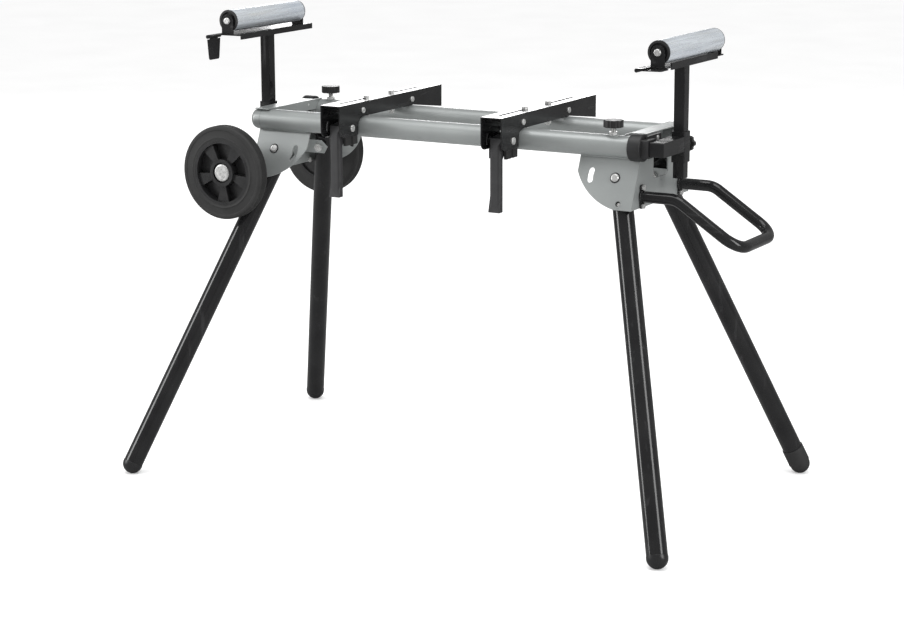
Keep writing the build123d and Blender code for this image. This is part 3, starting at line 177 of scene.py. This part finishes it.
silver_grey = grey_paint()
painted(silver_grey, "grey_painted_steel", "front_rail", "back_rail")

# Rail end caps
# Moulded plugs pressed into the blind rail ends, painted with the rails, with a
# domed nose and a small moulding nub at its middle. A black ring at each rail's
# end is painted shade: it stands in for the shadow in the gap where plug and rail meet.


def body_of(node):
    """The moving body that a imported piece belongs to."""
    bodies = frame["record"]["behaviour"]["bodies"]
    return next(body for body, nodes in bodies.items() if node in nodes)


def softened(node, material, slot_name, edge=0.5, crease=28, segments=2):
    """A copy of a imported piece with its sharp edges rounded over, edge in millimetres."""
    merge_distance = 0.002 * MM
    flat_angle = math.radians(0.6)
    mesh = frame["nodes"][node].data.copy()
    if "custom_normal" in mesh.attributes:
        mesh.attributes.remove(mesh.attributes["custom_normal"])
    shape = bmesh.new()
    shape.from_mesh(mesh)
    bmesh.ops.remove_doubles(shape, verts=shape.verts, dist=merge_distance)
    bmesh.ops.dissolve_limit(
        shape, angle_limit=flat_angle, verts=shape.verts, edges=shape.edges
    )
    shape.to_mesh(mesh)
    shape.free()
    mesh.materials.clear()
    mesh.materials.append(material)
    mesh.shade_smooth()
    rough = bpy.data.objects.new(node + "_rough", mesh)
    bpy.context.scene.collection.objects.link(rough)
    bevel = rough.modifiers.new("edges", "BEVEL")
    bevel.width = edge * MM
    bevel.segments = segments
    bevel.limit_method = "ANGLE"
    bevel.angle_limit = math.radians(crease)
    bevel.use_clamp_overlap = True
    bevel.harden_normals = True
    bpy.context.view_layer.update()
    evaluated = rough.evaluated_get(bpy.context.evaluated_depsgraph_get())
    finished = bpy.data.meshes.new_from_object(evaluated)
    bpy.data.objects.remove(rough)
    return settled(node + "_piece", finished, body_of(node), slot_name, node)


def settled(name, mesh, body, slot_name, *nodes):
    """Put a finished mesh on its body, in place of the nodes that it stands for."""
    mesh.name = name
    piece = bpy.data.objects.new(name, mesh)
    bpy.context.scene.collection.objects.link(piece)
    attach(piece, body)
    if nodes:
        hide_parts(*nodes)
    return piece


def lathe(name, profile, origin, direction, steps, material, smooth=32):
    """Turn a closed outline of (along, radius) millimetres about an axis."""
    merge_distance = 0.001 * MM
    along = Vector(direction).normalized()
    across = along.orthogonal().normalized()
    third = along.cross(across)
    shape = bmesh.new()
    rings = []
    for step in range(steps):
        angle = math.tau * step / steps
        out = across * math.cos(angle) + third * math.sin(angle)
        rings.append([shape.verts.new(origin + along * a * MM + out * r * MM) for a, r in profile])
    for this_ring, next_ring in zip(rings, rings[1:] + rings[:1]):
        for index in range(len(profile)):
            after = (index + 1) % len(profile)
            corners = (this_ring[index], this_ring[after], next_ring[after], next_ring[index])
            shape.faces.new(corners)
    bmesh.ops.remove_doubles(shape, verts=shape.verts, dist=merge_distance)
    bmesh.ops.recalc_face_normals(shape, faces=shape.faces)
    for edge in shape.edges:
        if len(edge.link_faces) == 2:
            edge.smooth = edge.calc_face_angle(0) < math.radians(smooth)
    for face in shape.faces:
        face.smooth = True
    mesh = bpy.data.meshes.new(name)
    shape.to_mesh(mesh)
    shape.free()
    mesh.materials.append(material)
    return mesh


def black_plastic(name, colour, shine, grain_scale):
    """Moulded black plastic with a fine spark-eroded grain."""
    plastic = Finish(name, Specular_IOR_Level=0.45)
    cloud = plastic.noise(35, detail=4)
    grain = plastic.noise(grain_scale, detail=2, low=0.35, high=0.65)
    lift = 1.7
    lighter = tuple(lift * level for level in colour[:3]) + (1,)
    plastic.feed(Base_Color=plastic.blend(cloud * 0.6 + grain * 0.15, colour, lighter))
    plastic.feed(Roughness=shine + cloud * 0.1 + grain * 0.08)
    plastic.relief(grain, 0.04 * MM, 0.7)
    return plastic.material


def ring(name, centre, direction, inner, outer, thickness, material, body, slot_name, steps=48):
    """A flat ring with softened rims, its sizes in millimetres."""
    soft_share = 0.25
    soft = soft_share * thickness
    outline = [(0, inner), (0, outer - soft), (soft, outer), (thickness - soft, outer)]
    outline += [(thickness, outer - soft), (thickness, inner)]
    mesh = lathe(name, outline, Vector(centre), direction, steps, material)
    return settled(name, mesh, body, slot_name)


softened("rail_end_caps", silver_grey, "grey_painted_steel", 0.6)
nylon = black_plastic("black_nylon", (0.0125, 0.0125, 0.013, 1), 0.36, 1500)
# A black ring sunk just inside each rail end: painted shade of the gap between cap and rail.
gap_shade_ring = {"inner": 20.2, "outer": 21.08, "thickness": 0.7}
gap_shade_sink = 0.3 * MM
for name, outward in (("front_rail", -1), ("back_rail", 1)):
    low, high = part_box(name)
    end = low if outward < 0 else high
    centre = Vector((end.x - outward * gap_shade_sink, (low.y + high.y) / 2, (low.z + high.z) / 2))
    ring(
        name + "_cap_gap_shade",
        centre,
        (outward, 0, 0),
        **gap_shade_ring,
        material=nylon,
        body="frame",
        slot_name="black_plastic",
    )

# Arm guides
# Glass-filled nylon caps, moulded in one with the square nose that guides the arm
# and the block that a screw pulls against the cross channel.
softened("arm_guides", nylon, "black_plastic", 0.5)

# Cross channels and guide screws
# Folded strips that join the rails at both ends, welded before painting, and the
# pan-head screws that hold the guide blocks to their webs.


def bright_steel():
    """Bolts with bright zinc plate, a little cloudy."""
    plate = Finish("bright_zinc_bolts", Metallic=0.75)
    cloud = plate.noise(170, detail=3)
    lines = plate.noise(900, stretch=(1, 1, 0.15), detail=2)
    plate.feed(Base_Color=plate.blend(cloud, (0.60, 0.60, 0.59, 1), (0.80, 0.80, 0.79, 1)))
    plate.feed(Roughness=0.2 + cloud * 0.12 + lines * 0.08)
    plate.relief(lines, 0.01 * MM, 0.4)
    return plate.material


zinc = bright_steel()
softened("cross_channels", silver_grey, "grey_painted_steel", 0.6)
painted(zinc, "bright_steel", "guide_screws")

# Leg brackets
# One 2.5 mm sheet folded into two leaning plates, an end plate and two tongues,
# welded under the rails with a bead along each plate's top. A bead runs round each
# lock boss too.


def weld_tree():
    """A bead of overlapping ripples along an edge, each a flattened ball."""
    tree = bpy.data.node_groups.new("weld_bead", "GeometryNodeTree")
    tree.interface.new_socket("Seam", in_out="INPUT", socket_type="NodeSocketGeometry")
    for label in ("Bead Radius", "Ripple Pitch"):
        tree.interface.new_socket(label, in_out="INPUT", socket_type="NodeSocketFloat")
    tree.interface.new_socket("Metal", in_out="INPUT", socket_type="NodeSocketMaterial")
    tree.interface.new_socket("Bead", in_out="OUTPUT", socket_type="NodeSocketGeometry")

    def add(kind, links=None, **values):
        node = tree.nodes.new(kind)
        for name, value in values.items():
            setattr(node, name, value)
        for name, source in (links or {}).items():
            if isinstance(source, bpy.types.NodeSocket):
                tree.links.new(source, node.inputs[name])
            else:
                node.inputs[name].default_value = source
        return node

    given = add("NodeGroupInput")
    seam = add("GeometryNodeMeshToCurve", {"Mesh": given.outputs["Seam"]})
    steps = add("GeometryNodeResampleCurve", {"Curve": seam.outputs[0]}, mode="LENGTH")
    tree.links.new(given.outputs["Ripple Pitch"], steps.inputs[3])
    ball = add(
        "GeometryNodeMeshIcoSphere",
        {"Radius": given.outputs["Bead Radius"], "Subdivisions": 2},
    )
    spread = add("FunctionNodeRandomValue", {"Min": 0.85, "Max": 1.15, "Seed": 4})
    beads = add(
        "GeometryNodeInstanceOnPoints",
        {"Points": steps.outputs[0], "Instance": ball.outputs[0], "Scale": spread.outputs[1]},
    )
    solid = add("GeometryNodeRealizeInstances", {"Geometry": beads.outputs[0]})
    smooth = add("GeometryNodeSetShadeSmooth", {"Geometry": solid.outputs[0]})
    metal = add(
        "GeometryNodeSetMaterial",
        {"Geometry": smooth.outputs[0], "Material": given.outputs["Metal"]},
    )
    result = add("NodeGroupOutput")
    tree.links.new(metal.outputs[0], result.inputs[0])
    return tree


weld_beads = weld_tree()


def grown(name, mesh, tree, values, body, slot_name):
    """Grow a tree's pieces on a mesh of edges, and keep them as one plain mesh."""
    seed = bpy.data.objects.new(name + "_seed", mesh)
    bpy.context.scene.collection.objects.link(seed)
    growth = seed.modifiers.new("growth", "NODES")
    growth.node_group = tree
    for item in tree.interface.items_tree:
        if item.in_out == "INPUT" and item.name in values:
            growth[item.identifier] = values[item.name]
    bpy.context.view_layer.update()
    evaluated = seed.evaluated_get(bpy.context.evaluated_depsgraph_get())
    finished = bpy.data.meshes.new_from_object(evaluated)
    seed.modifiers.clear()
    bpy.data.objects.remove(seed)
    return settled(name, finished, body, slot_name)


def edge_mesh(name, runs):
    """A mesh of edges only, one chain for each run of points."""
    points = []
    edges = []
    for run in runs:
        start = len(points)
        points += [tuple(point) for point in run]
        edges += [(start + step, start + step + 1) for step in range(len(run) - 1)]
    mesh = bpy.data.meshes.new(name)
    mesh.from_pydata(points, edges, [])
    return mesh


def weld(name, runs, radius, material, body, slot_name):
    """A weld bead along each run of points, its radius in millimetres."""
    pitch_share = 0.55
    pitch = pitch_share * radius * MM
    values = {"Bead Radius": radius * MM, "Ripple Pitch": pitch, "Metal": material}
    return grown(name, edge_mesh(name, runs), weld_beads, values, body, slot_name)


for end in ("right", "left"):
    softened(end + "_leg_bracket", silver_grey, "grey_painted_steel", 0.7)

rail_radius = 21 * MM
rail_low, rail_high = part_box("front_rail")
rail_z = (rail_low.z + rail_high.z) / 2
front_y = (rail_low.y + rail_high.y) / 2
seam_radius = rail_radius + 0.8 * MM
seam_angle = math.radians(8)
short_inset = 4 * MM
long_inset = 24 * MM
bracket_bead = 1.5
for end, side in (("right", 1), ("left", -1)):
    low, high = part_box(end + "_leg_bracket")
    seams = []
    for front in (-1, 1):
        along = front * (abs(front_y) + seam_radius * math.sin(seam_angle))
        height = rail_z - seam_radius * math.cos(seam_angle)
        guide_inset = long_inset if front * side < 0 else short_inset
        if side > 0:
            ends = (low.x + short_inset, high.x - guide_inset)
        else:
            ends = (low.x + guide_inset, high.x - short_inset)
        seams.append([(x, along, height) for x in ends])
    weld(
        end + "_bracket_welds", seams, bracket_bead, silver_grey, "frame", "grey_painted_steel"
    )


def loop_run(centre, direction, radius, count=40):
    """A closed run of points round an axis, its radius in millimetres."""
    along = Vector(direction).normalized()
    across = along.orthogonal().normalized()
    third = along.cross(across)
    angles = [math.tau * step / count for step in range(count + 1)]
    centre = Vector(centre)
    return [centre + (across * math.cos(a) + third * math.sin(a)) * radius * MM for a in angles]


boss_radius = 8.3
boss_bead = 1.1
boss_runs = []
for knob in ("left_arm_knob", "right_arm_knob"):
    low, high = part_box(knob)
    boss_middle = ((low.x + high.x) / 2, (low.y + high.y) / 2, rail_z)
    run = loop_run(boss_middle, (0, 0, 1), boss_radius)
    for point in run:
        point.z = rail_z + math.sqrt(rail_radius**2 - (point.y - boss_middle[1]) ** 2)
    boss_runs.append(run)
weld("boss_welds", boss_runs, boss_bead, silver_grey, "frame", "grey_painted_steel")

# Pivot bolts, mount bolts, axles and lock bosses
# Bright zinc-plated fasteners: domed bolts on black washers that the legs fold on,
# hex bolts of the handle and the wheel bracket, stub axles and the knobs' bosses.
# Each plate also has a raised grey ring round the hole of its lock button.
painted(zinc, "bright_steel", "leg_pivot_bolts", "wheel_axles")
plate_out = 24.9
button_reach = 52
washer_sizes = (7.6, 10.2, 0.7)
button_ring_sizes = (5.5, 8.0, 0.5)
joint_axes = {joint["name"]: joint["axis"] for joint in frame["joints"]}
leg_way = Vector(joint_axes["back_right_foot_adjust"])
for joint in frame["joints"]:
    if not joint["name"].endswith("_leg_fold"):
        continue
    pivot = Vector(joint["pos_m"])
    out = Vector(joint["axis"])
    out = out if out.z > 0 else -out
    place = joint["name"].removesuffix("_leg_fold")
    face = pivot + out * plate_out * MM
    ring(place + "_pivot_washer", face, out, *washer_sizes, nylon, "frame", "black_plastic")
    sideways = math.copysign(leg_way.x, pivot.x)
    forward = math.copysign(leg_way.y, pivot.y)
    face += Vector((sideways, forward, leg_way.z)) * button_reach * MM
    button_ring = (place + "_button_ring", face, out, *button_ring_sizes)
    ring(*button_ring, silver_grey, "frame", "grey_painted_steel")
softened("mount_bolts", zinc, "bright_steel", 0.35)
softened("lock_bosses", zinc, "bright_steel", 0.4)

# Legs, feet and lock buttons
# 40 mm steel tubes in gloss black powder coat with ball-ended plastic feet pressed
# on, one of them turning on a thread, and a spring button below each pivot.


def gloss_black(name, direction, shine=0.13):
    """Gloss black powder coat, its peel fine and its rub marks along one direction."""
    coat = Finish(name, Specular_IOR_Level=0.3, Coat_Weight=0.25, Coat_Roughness=0.07)
    cloud = coat.noise(14, detail=3)
    peel = coat.noise(330, detail=1)
    dust = coat.noise(950, detail=2, low=0.66, high=0.78)
    rub = coat.noise(75, stretch=direction, detail=6, low=0.6, high=0.74)
    base = coat.blend(cloud, (0.0075, 0.0075, 0.008, 1), (0.013, 0.013, 0.0135, 1))
    dusty = coat.blend(dust * 0.35, base, (0.06, 0.06, 0.058, 1))
    coat.feed(Base_Color=coat.blend(rub * 0.35, dusty, (0.045, 0.045, 0.047, 1)))
    coat.feed(Roughness=shine + cloud * 0.05 + rub * 0.16 + dust * 0.2)
    coat.relief(peel + dust * 0.2, 0.025 * MM, 0.5)
    return coat.material


leg_coat = gloss_black("black_coat_legs", (1, 1, 0.1))
foot_plastic = black_plastic("black_foot_plastic", (0.010, 0.010, 0.0105, 1), 0.2, 900)
grip_plastic = black_plastic("black_grip_plastic", (0.016, 0.016, 0.016, 1), 0.45, 1300)
for place in ("front_right", "front_left", "back_left", "back_right"):
    painted(leg_coat, "black_painted_steel", place + "_leg")
    painted(zinc, "bright_steel", place + "_lock_button")
    turns = place == "back_right"
    softened(place + "_foot", grip_plastic if turns else foot_plastic, "black_plastic", 0.8)

# Carrying handle
# A 22 mm tube bent to a sloping loop, with a small flange welded to each end and
# bolted to the right end plate, in the same black coat as the legs.
handle_coat = gloss_black("black_coat_handle", (0.1, 1, 1))
painted(handle_coat, "black_painted_steel", "carry_handle")
low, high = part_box("carry_handle")
tube_radius = 11 * MM
flange_face = 3.3 * MM
flange_half_height = 23 * MM
handle_loop_radius = 11.4
handle_bead = 1.3
flange_runs = []
for y in (low.y + tube_radius, high.y - tube_radius):
    face = (low.x + flange_face, y, high.z - flange_half_height)
    flange_runs.append(loop_run(face, (1, 0, 0), handle_loop_radius))
weld("handle_welds", flange_runs, handle_bead, handle_coat, "frame", "black_painted_steel")

# Wheel bracket
# A pressed U of 3 mm sheet bolted to the left end plate, with a stub axle through
# each ear, in black powder coat.
sheet_coat = gloss_black("black_coat_sheet", (1, 0.12, 1), 0.2)
softened("wheel_bracket", sheet_coat, "black_painted_steel", 0.6)

# Wheels
# Injection-moulded hubs with five spokes, and solid rubber tyres pressed over their
# rims, with broad ribs round the tread and a raised ring on the outer side wall.


def tyre_rubber():
    """Matt black rubber, dusty in its fine grain."""
    rubber = Finish("tyre_rubber", Specular_IOR_Level=0.35)
    cloud = rubber.noise(22, detail=5)
    grain = rubber.noise(1400, detail=2)
    base = rubber.blend(cloud, (0.014, 0.014, 0.014, 1), (0.026, 0.026, 0.026, 1))
    rubber.feed(Base_Color=rubber.blend(grain * 0.2, base, (0.05, 0.05, 0.05, 1)))
    rubber.feed(Roughness=0.52 + cloud * 0.12 + grain * 0.08)
    rubber.relief(grain, 0.05 * MM, 0.6)
    return rubber.material


def arc_points(centre, radius, start, end, count):
    """Points on an arc, for an outline."""
    span = [math.radians(start + (end - start) * step / count) for step in range(count + 1)]
    return [(centre[0] + radius * math.cos(a), centre[1] + radius * math.sin(a)) for a in span]


def tyre_outline(half_width, inner, outer):
    """Half-width, rim and tread radius to a section with ribs and stepped walls."""
    shoulder = 5
    ribs = 5
    groove = 1.3
    groove_share = 0.2
    wall_step = 1.0
    bulge = 1.6
    bulge_start = -40
    bulge_end = 70
    bulge_points = 6
    shoulder_points = 10
    bulge_centre = (half_width - wall_step, inner + 3 * bulge)
    section = [(-half_width, inner), (half_width, inner), (half_width, inner + bulge)]
    section += arc_points(bulge_centre, bulge, bulge_start, bulge_end, bulge_points)
    section += [(half_width - wall_step, inner + 5 * bulge)]
    section += [(half_width - wall_step, outer - shoulder - 3 * bulge)]
    section += [(half_width, outer - shoulder - 2 * bulge)]
    right_centre = (half_width - shoulder, outer - shoulder)
    section += arc_points(right_centre, shoulder, 0, 90, shoulder_points)
    tread = 2 * (half_width - shoulder)
    pitch = tread / ribs
    for rib in range(1, ribs):
        groove_middle = half_width - shoulder - rib * pitch
        lip = groove_share * pitch
        section += [(groove_middle + lip, outer), (groove_middle + lip / 2, outer - groove)]
        section += [(groove_middle - lip / 2, outer - groove), (groove_middle - lip, outer)]
    left_centre = (shoulder - half_width, outer - shoulder)
    section += arc_points(left_centre, shoulder, 90, 180, shoulder_points)
    section += [(-half_width, outer - shoulder - 2 * bulge)]
    return section


rubber = tyre_rubber()
hub_plastic = black_plastic("black_hub_plastic", (0.011, 0.011, 0.0115, 1), 0.24, 1100)
tyre_steps = 128
tyre_inner = 67.1
for place, outward in (("front", -1), ("back", 1)):
    low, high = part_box(place + "_tyre")
    half_width = (high.y - low.y) / 2 / MM
    outer = (high.z - low.z) / 2 / MM
    section = tyre_outline(half_width, tyre_inner, outer)
    name = place + "_tyre_piece"
    tyre = lathe(name, section, (low + high) / 2, (0, outward, 0), tyre_steps, rubber)
    settled(name, tyre, place + "_wheel", "rubber_tread", place + "_tyre")
    softened(place + "_wheel_hub", hub_plastic, "black_plastic", 1.0, segments=3)

# Extension arms
# Square tubes that slide in the rails, welded to a cross tube and an upright sleeve
# with a nut for the post's knob. Sliding leaves long rub marks in the black coat.
for side in ("right", "left"):
    softened(side + "_arm", sheet_coat, "black_painted_steel", 0.7)

# Star knobs
# Black phenolic heads moulded on zinc-plated studs. The arm knobs press on the
# sliding arms through the rails, and the post knobs press on the posts.


def stud_thread(name, start, direction, length, body):
    """The turns of a bright thread round a stud, as rounded rings, in millimetres."""
    pitch = 1.25
    crest = 4.6
    root = 4.05
    core = 3
    steps = 32
    crease = 20
    outline = []
    for turn in range(int(length / pitch)):
        outline += [(turn * pitch, crest), (turn * pitch + pitch / 2, root)]
    outline += [(length, crest), (length, core), (0, core)]
    mesh = lathe(name, outline, Vector(start), direction, steps, zinc, crease)
    return settled(name, mesh, body, "bright_steel")


knob_plastic = black_plastic("black_knob_plastic", (0.012, 0.012, 0.012, 1), 0.3, 1200)
for side in ("right", "left"):
    for knob in ("arm", "post"):
        softened(f"{side}_{knob}_knob", knob_plastic, "black_plastic", 0.8, segments=3)
stud_show = 6.9
arm_knob_height = 15.5
post_knob_height = 12
arm_stud_depth = (arm_knob_height + stud_show) * MM
post_stud_depth = (post_knob_height + stud_show) * MM
for side, outward in (("right", 1), ("left", -1)):
    low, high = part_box(side + "_arm_knob")
    start = ((low.x + high.x) / 2, (low.y + high.y) / 2, high.z - arm_stud_depth)
    stud_thread(side + "_arm_stud", start, (0, 0, 1), stud_show, side + "_arm_knob")
    low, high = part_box(side + "_post_knob")
    face = high.y if outward > 0 else low.y
    start = ((low.x + high.x) / 2, face - outward * post_stud_depth, (low.z + high.z) / 2)
    stud_thread(side + "_post_stud", start, (0, outward, 0), stud_show, side + "_post_knob")

# Roller heads
# Each post is a square tube in a sleeve. Its pressed bracket holds the roller on a
# riveted axle, and a hinged flap folds up as a stop for long boards.
post_coat = gloss_black("black_coat_posts", (1, 1, 0.1))
weld_drop = 0.4 * MM
head_bead = 1.4
for side in ("right", "left"):
    softened(side + "_post", post_coat, "black_painted_steel", 0.5)
    softened(side + "_roller_bracket", sheet_coat, "black_painted_steel", 0.5)
    softened(side + "_stop_flap", sheet_coat, "black_painted_steel", 0.4)
    painted(zinc, "bright_steel", side + "_roller_axle")
    low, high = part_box(side + "_post")
    corners = [(low.x, low.y), (high.x, low.y), (high.x, high.y), (low.x, high.y)]
    run = [(x, y, high.z - weld_drop) for x, y in corners + corners[:1]]
    head = side + "_roller_head"
    weld(side + "_head_weld", [run], head_bead, post_coat, head, "black_painted_steel")

# Rollers
# Drawn steel tubes with bright zinc plate, streaked along their length, that turn
# on recessed black end caps.


def roller_zinc():
    """Bright zinc with bluish and straw-coloured streaks along the tube."""
    plate = Finish("roller_zinc", Metallic=0.62)
    streak = plate.noise(190, stretch=(1, 0.05, 1), detail=5, low=0.34, high=0.66)
    tint = plate.noise(60, stretch=(1, 0.12, 1), detail=3)
    blotch = plate.noise(240, stretch=(1, 0.3, 1), detail=4, low=0.55, high=0.75)
    cool = plate.blend(tint, (0.60, 0.66, 0.74, 1), (0.74, 0.76, 0.76, 1))
    drawn = plate.blend(streak, cool, (0.80, 0.85, 0.90, 1))
    plate.feed(Base_Color=plate.blend(blotch * 0.3, drawn, (0.42, 0.45, 0.52, 1)))
    plate.feed(Roughness=0.2 + streak * 0.14 + blotch * 0.12)
    plate.relief(streak, 0.015 * MM, 0.5)
    return plate.material


roller_plate = roller_zinc()
for side in ("right", "left"):
    painted(roller_plate, "zinc_plated_roller", side + "_roller")
    softened(side + "_roller_caps", nylon, "black_plastic", 0.5)

# Saw brackets
# Folded channels that bridge both rails and take the saw's feet on slotted tops.
# Their bolts are bright, and their black coat mirrors the light behind the stand.
for side in ("right", "left"):
    softened(side + "_saw_bracket", sheet_coat, "black_painted_steel", 0.6)
    painted(zinc, "bright_steel", side + "_cross_bolts")
    for place in ("front", "back"):
        softened(f"{side}_{place}_tool_bolt", zinc, "bright_steel", 0.4)

# Clamp levers and jaws
# Moulded black handles whose eccentric boss turns on a cross bolt and presses the
# ribbed jaw against the front rail.
lever_plastic = black_plastic("black_lever_plastic", (0.020, 0.020, 0.021, 1), 0.42, 1300)
for side in ("right", "left"):
    softened(side + "_clamp_lever", lever_plastic, "black_plastic", 1.6, segments=3)
    softened(side + "_clamp_jaw", knob_plastic, "black_plastic", 0.7)

# Floor and light
# A white floor under plain soft light: a panel on each side, one above and one far
# behind. Their reflections run down the gloss black tubes, which otherwise mirror a
# darker room than the camera sees.
scene = bpy.context.scene
scene.view_settings.view_transform = "Standard"


def seen_directly(tree):
    """Two wires: one for rays from the camera or through clear pieces, one for mirrored rays."""
    path = tree.nodes.new("ShaderNodeLightPath")
    camera_ray = Wire(tree, path.outputs["Is Camera Ray"])
    clear_ray = Wire(tree, path.outputs["Is Transmission Ray"])
    return camera_ray + clear_ray, Wire(tree, path.outputs["Is Glossy Ray"])


world = bpy.data.worlds.new("studio")
scene.world = world
world.use_nodes = True
ambient = 0.85
mirrored_level = 0.3
background = world.node_tree.nodes["Background"]
background.inputs["Color"].default_value = (1, 1, 1, 1)
direct, glossy = seen_directly(world.node_tree)
level = direct * (1 - ambient) + glossy * (mirrored_level - ambient) + ambient
world.node_tree.links.new(level.socket, background.inputs["Strength"])

floor_size = 60
floor_mesh = bpy.data.meshes.new("floor")
half = floor_size / 2
floor_corners = [(-half, -half, 0), (half, -half, 0), (half, half, 0), (-half, half, 0)]
floor_mesh.from_pydata(floor_corners, [], [(0, 1, 2, 3)])
floor = bpy.data.objects.new("floor", floor_mesh)
scene.collection.objects.link(floor)
floor_paint = Finish("studio_floor", Roughness=0.9, Specular_IOR_Level=0.1)
grain = floor_paint.noise(3, detail=3)
white = floor_paint.blend(grain, (0.86, 0.86, 0.86, 1), (0.9, 0.9, 0.9, 1))
direct, glossy = seen_directly(floor_paint.tree)
floor_paint.feed(Base_Color=floor_paint.blend(glossy, white, (0.26, 0.26, 0.26, 1)))
glow = floor_paint.blend(direct, (0, 0, 0, 1), (1, 1, 1, 1))
floor_paint.feed(Emission_Color=glow)
floor_paint.shader.inputs["Emission Strength"].default_value = 0.22
floor_mesh.materials.append(floor_paint.material)


def panel(name, centre, target, width, height, power):
    """A soft light panel that faces a point on the stand."""
    light = bpy.data.lights.new(name, "AREA")
    light.shape = "RECTANGLE"
    light.size = width
    light.size_y = height
    light.energy = power
    lamp = bpy.data.objects.new(name, light)
    lamp.location = centre
    lamp.rotation_euler = (Vector(target) - Vector(centre)).to_track_quat("-Z", "Y").to_euler()
    scene.collection.objects.link(lamp)
    return lamp


stand_middle = (0, 0, 0.6)
for name, centre, width, height, power in (
    ("left_panel", (-3.2, -2.2, 1.6), 1.0, 2.6, 60),
    ("right_panel", (3.4, -0.6, 1.7), 1.0, 2.6, 55),
    ("top_panel", (0, -0.6, 3.4), 3.0, 2.0, 60),
    ("back_panel", (-2.9, 5, 2.0), 1.7, 1.2, 40),
):
    panel(name, centre, stand_middle, width, height, power)
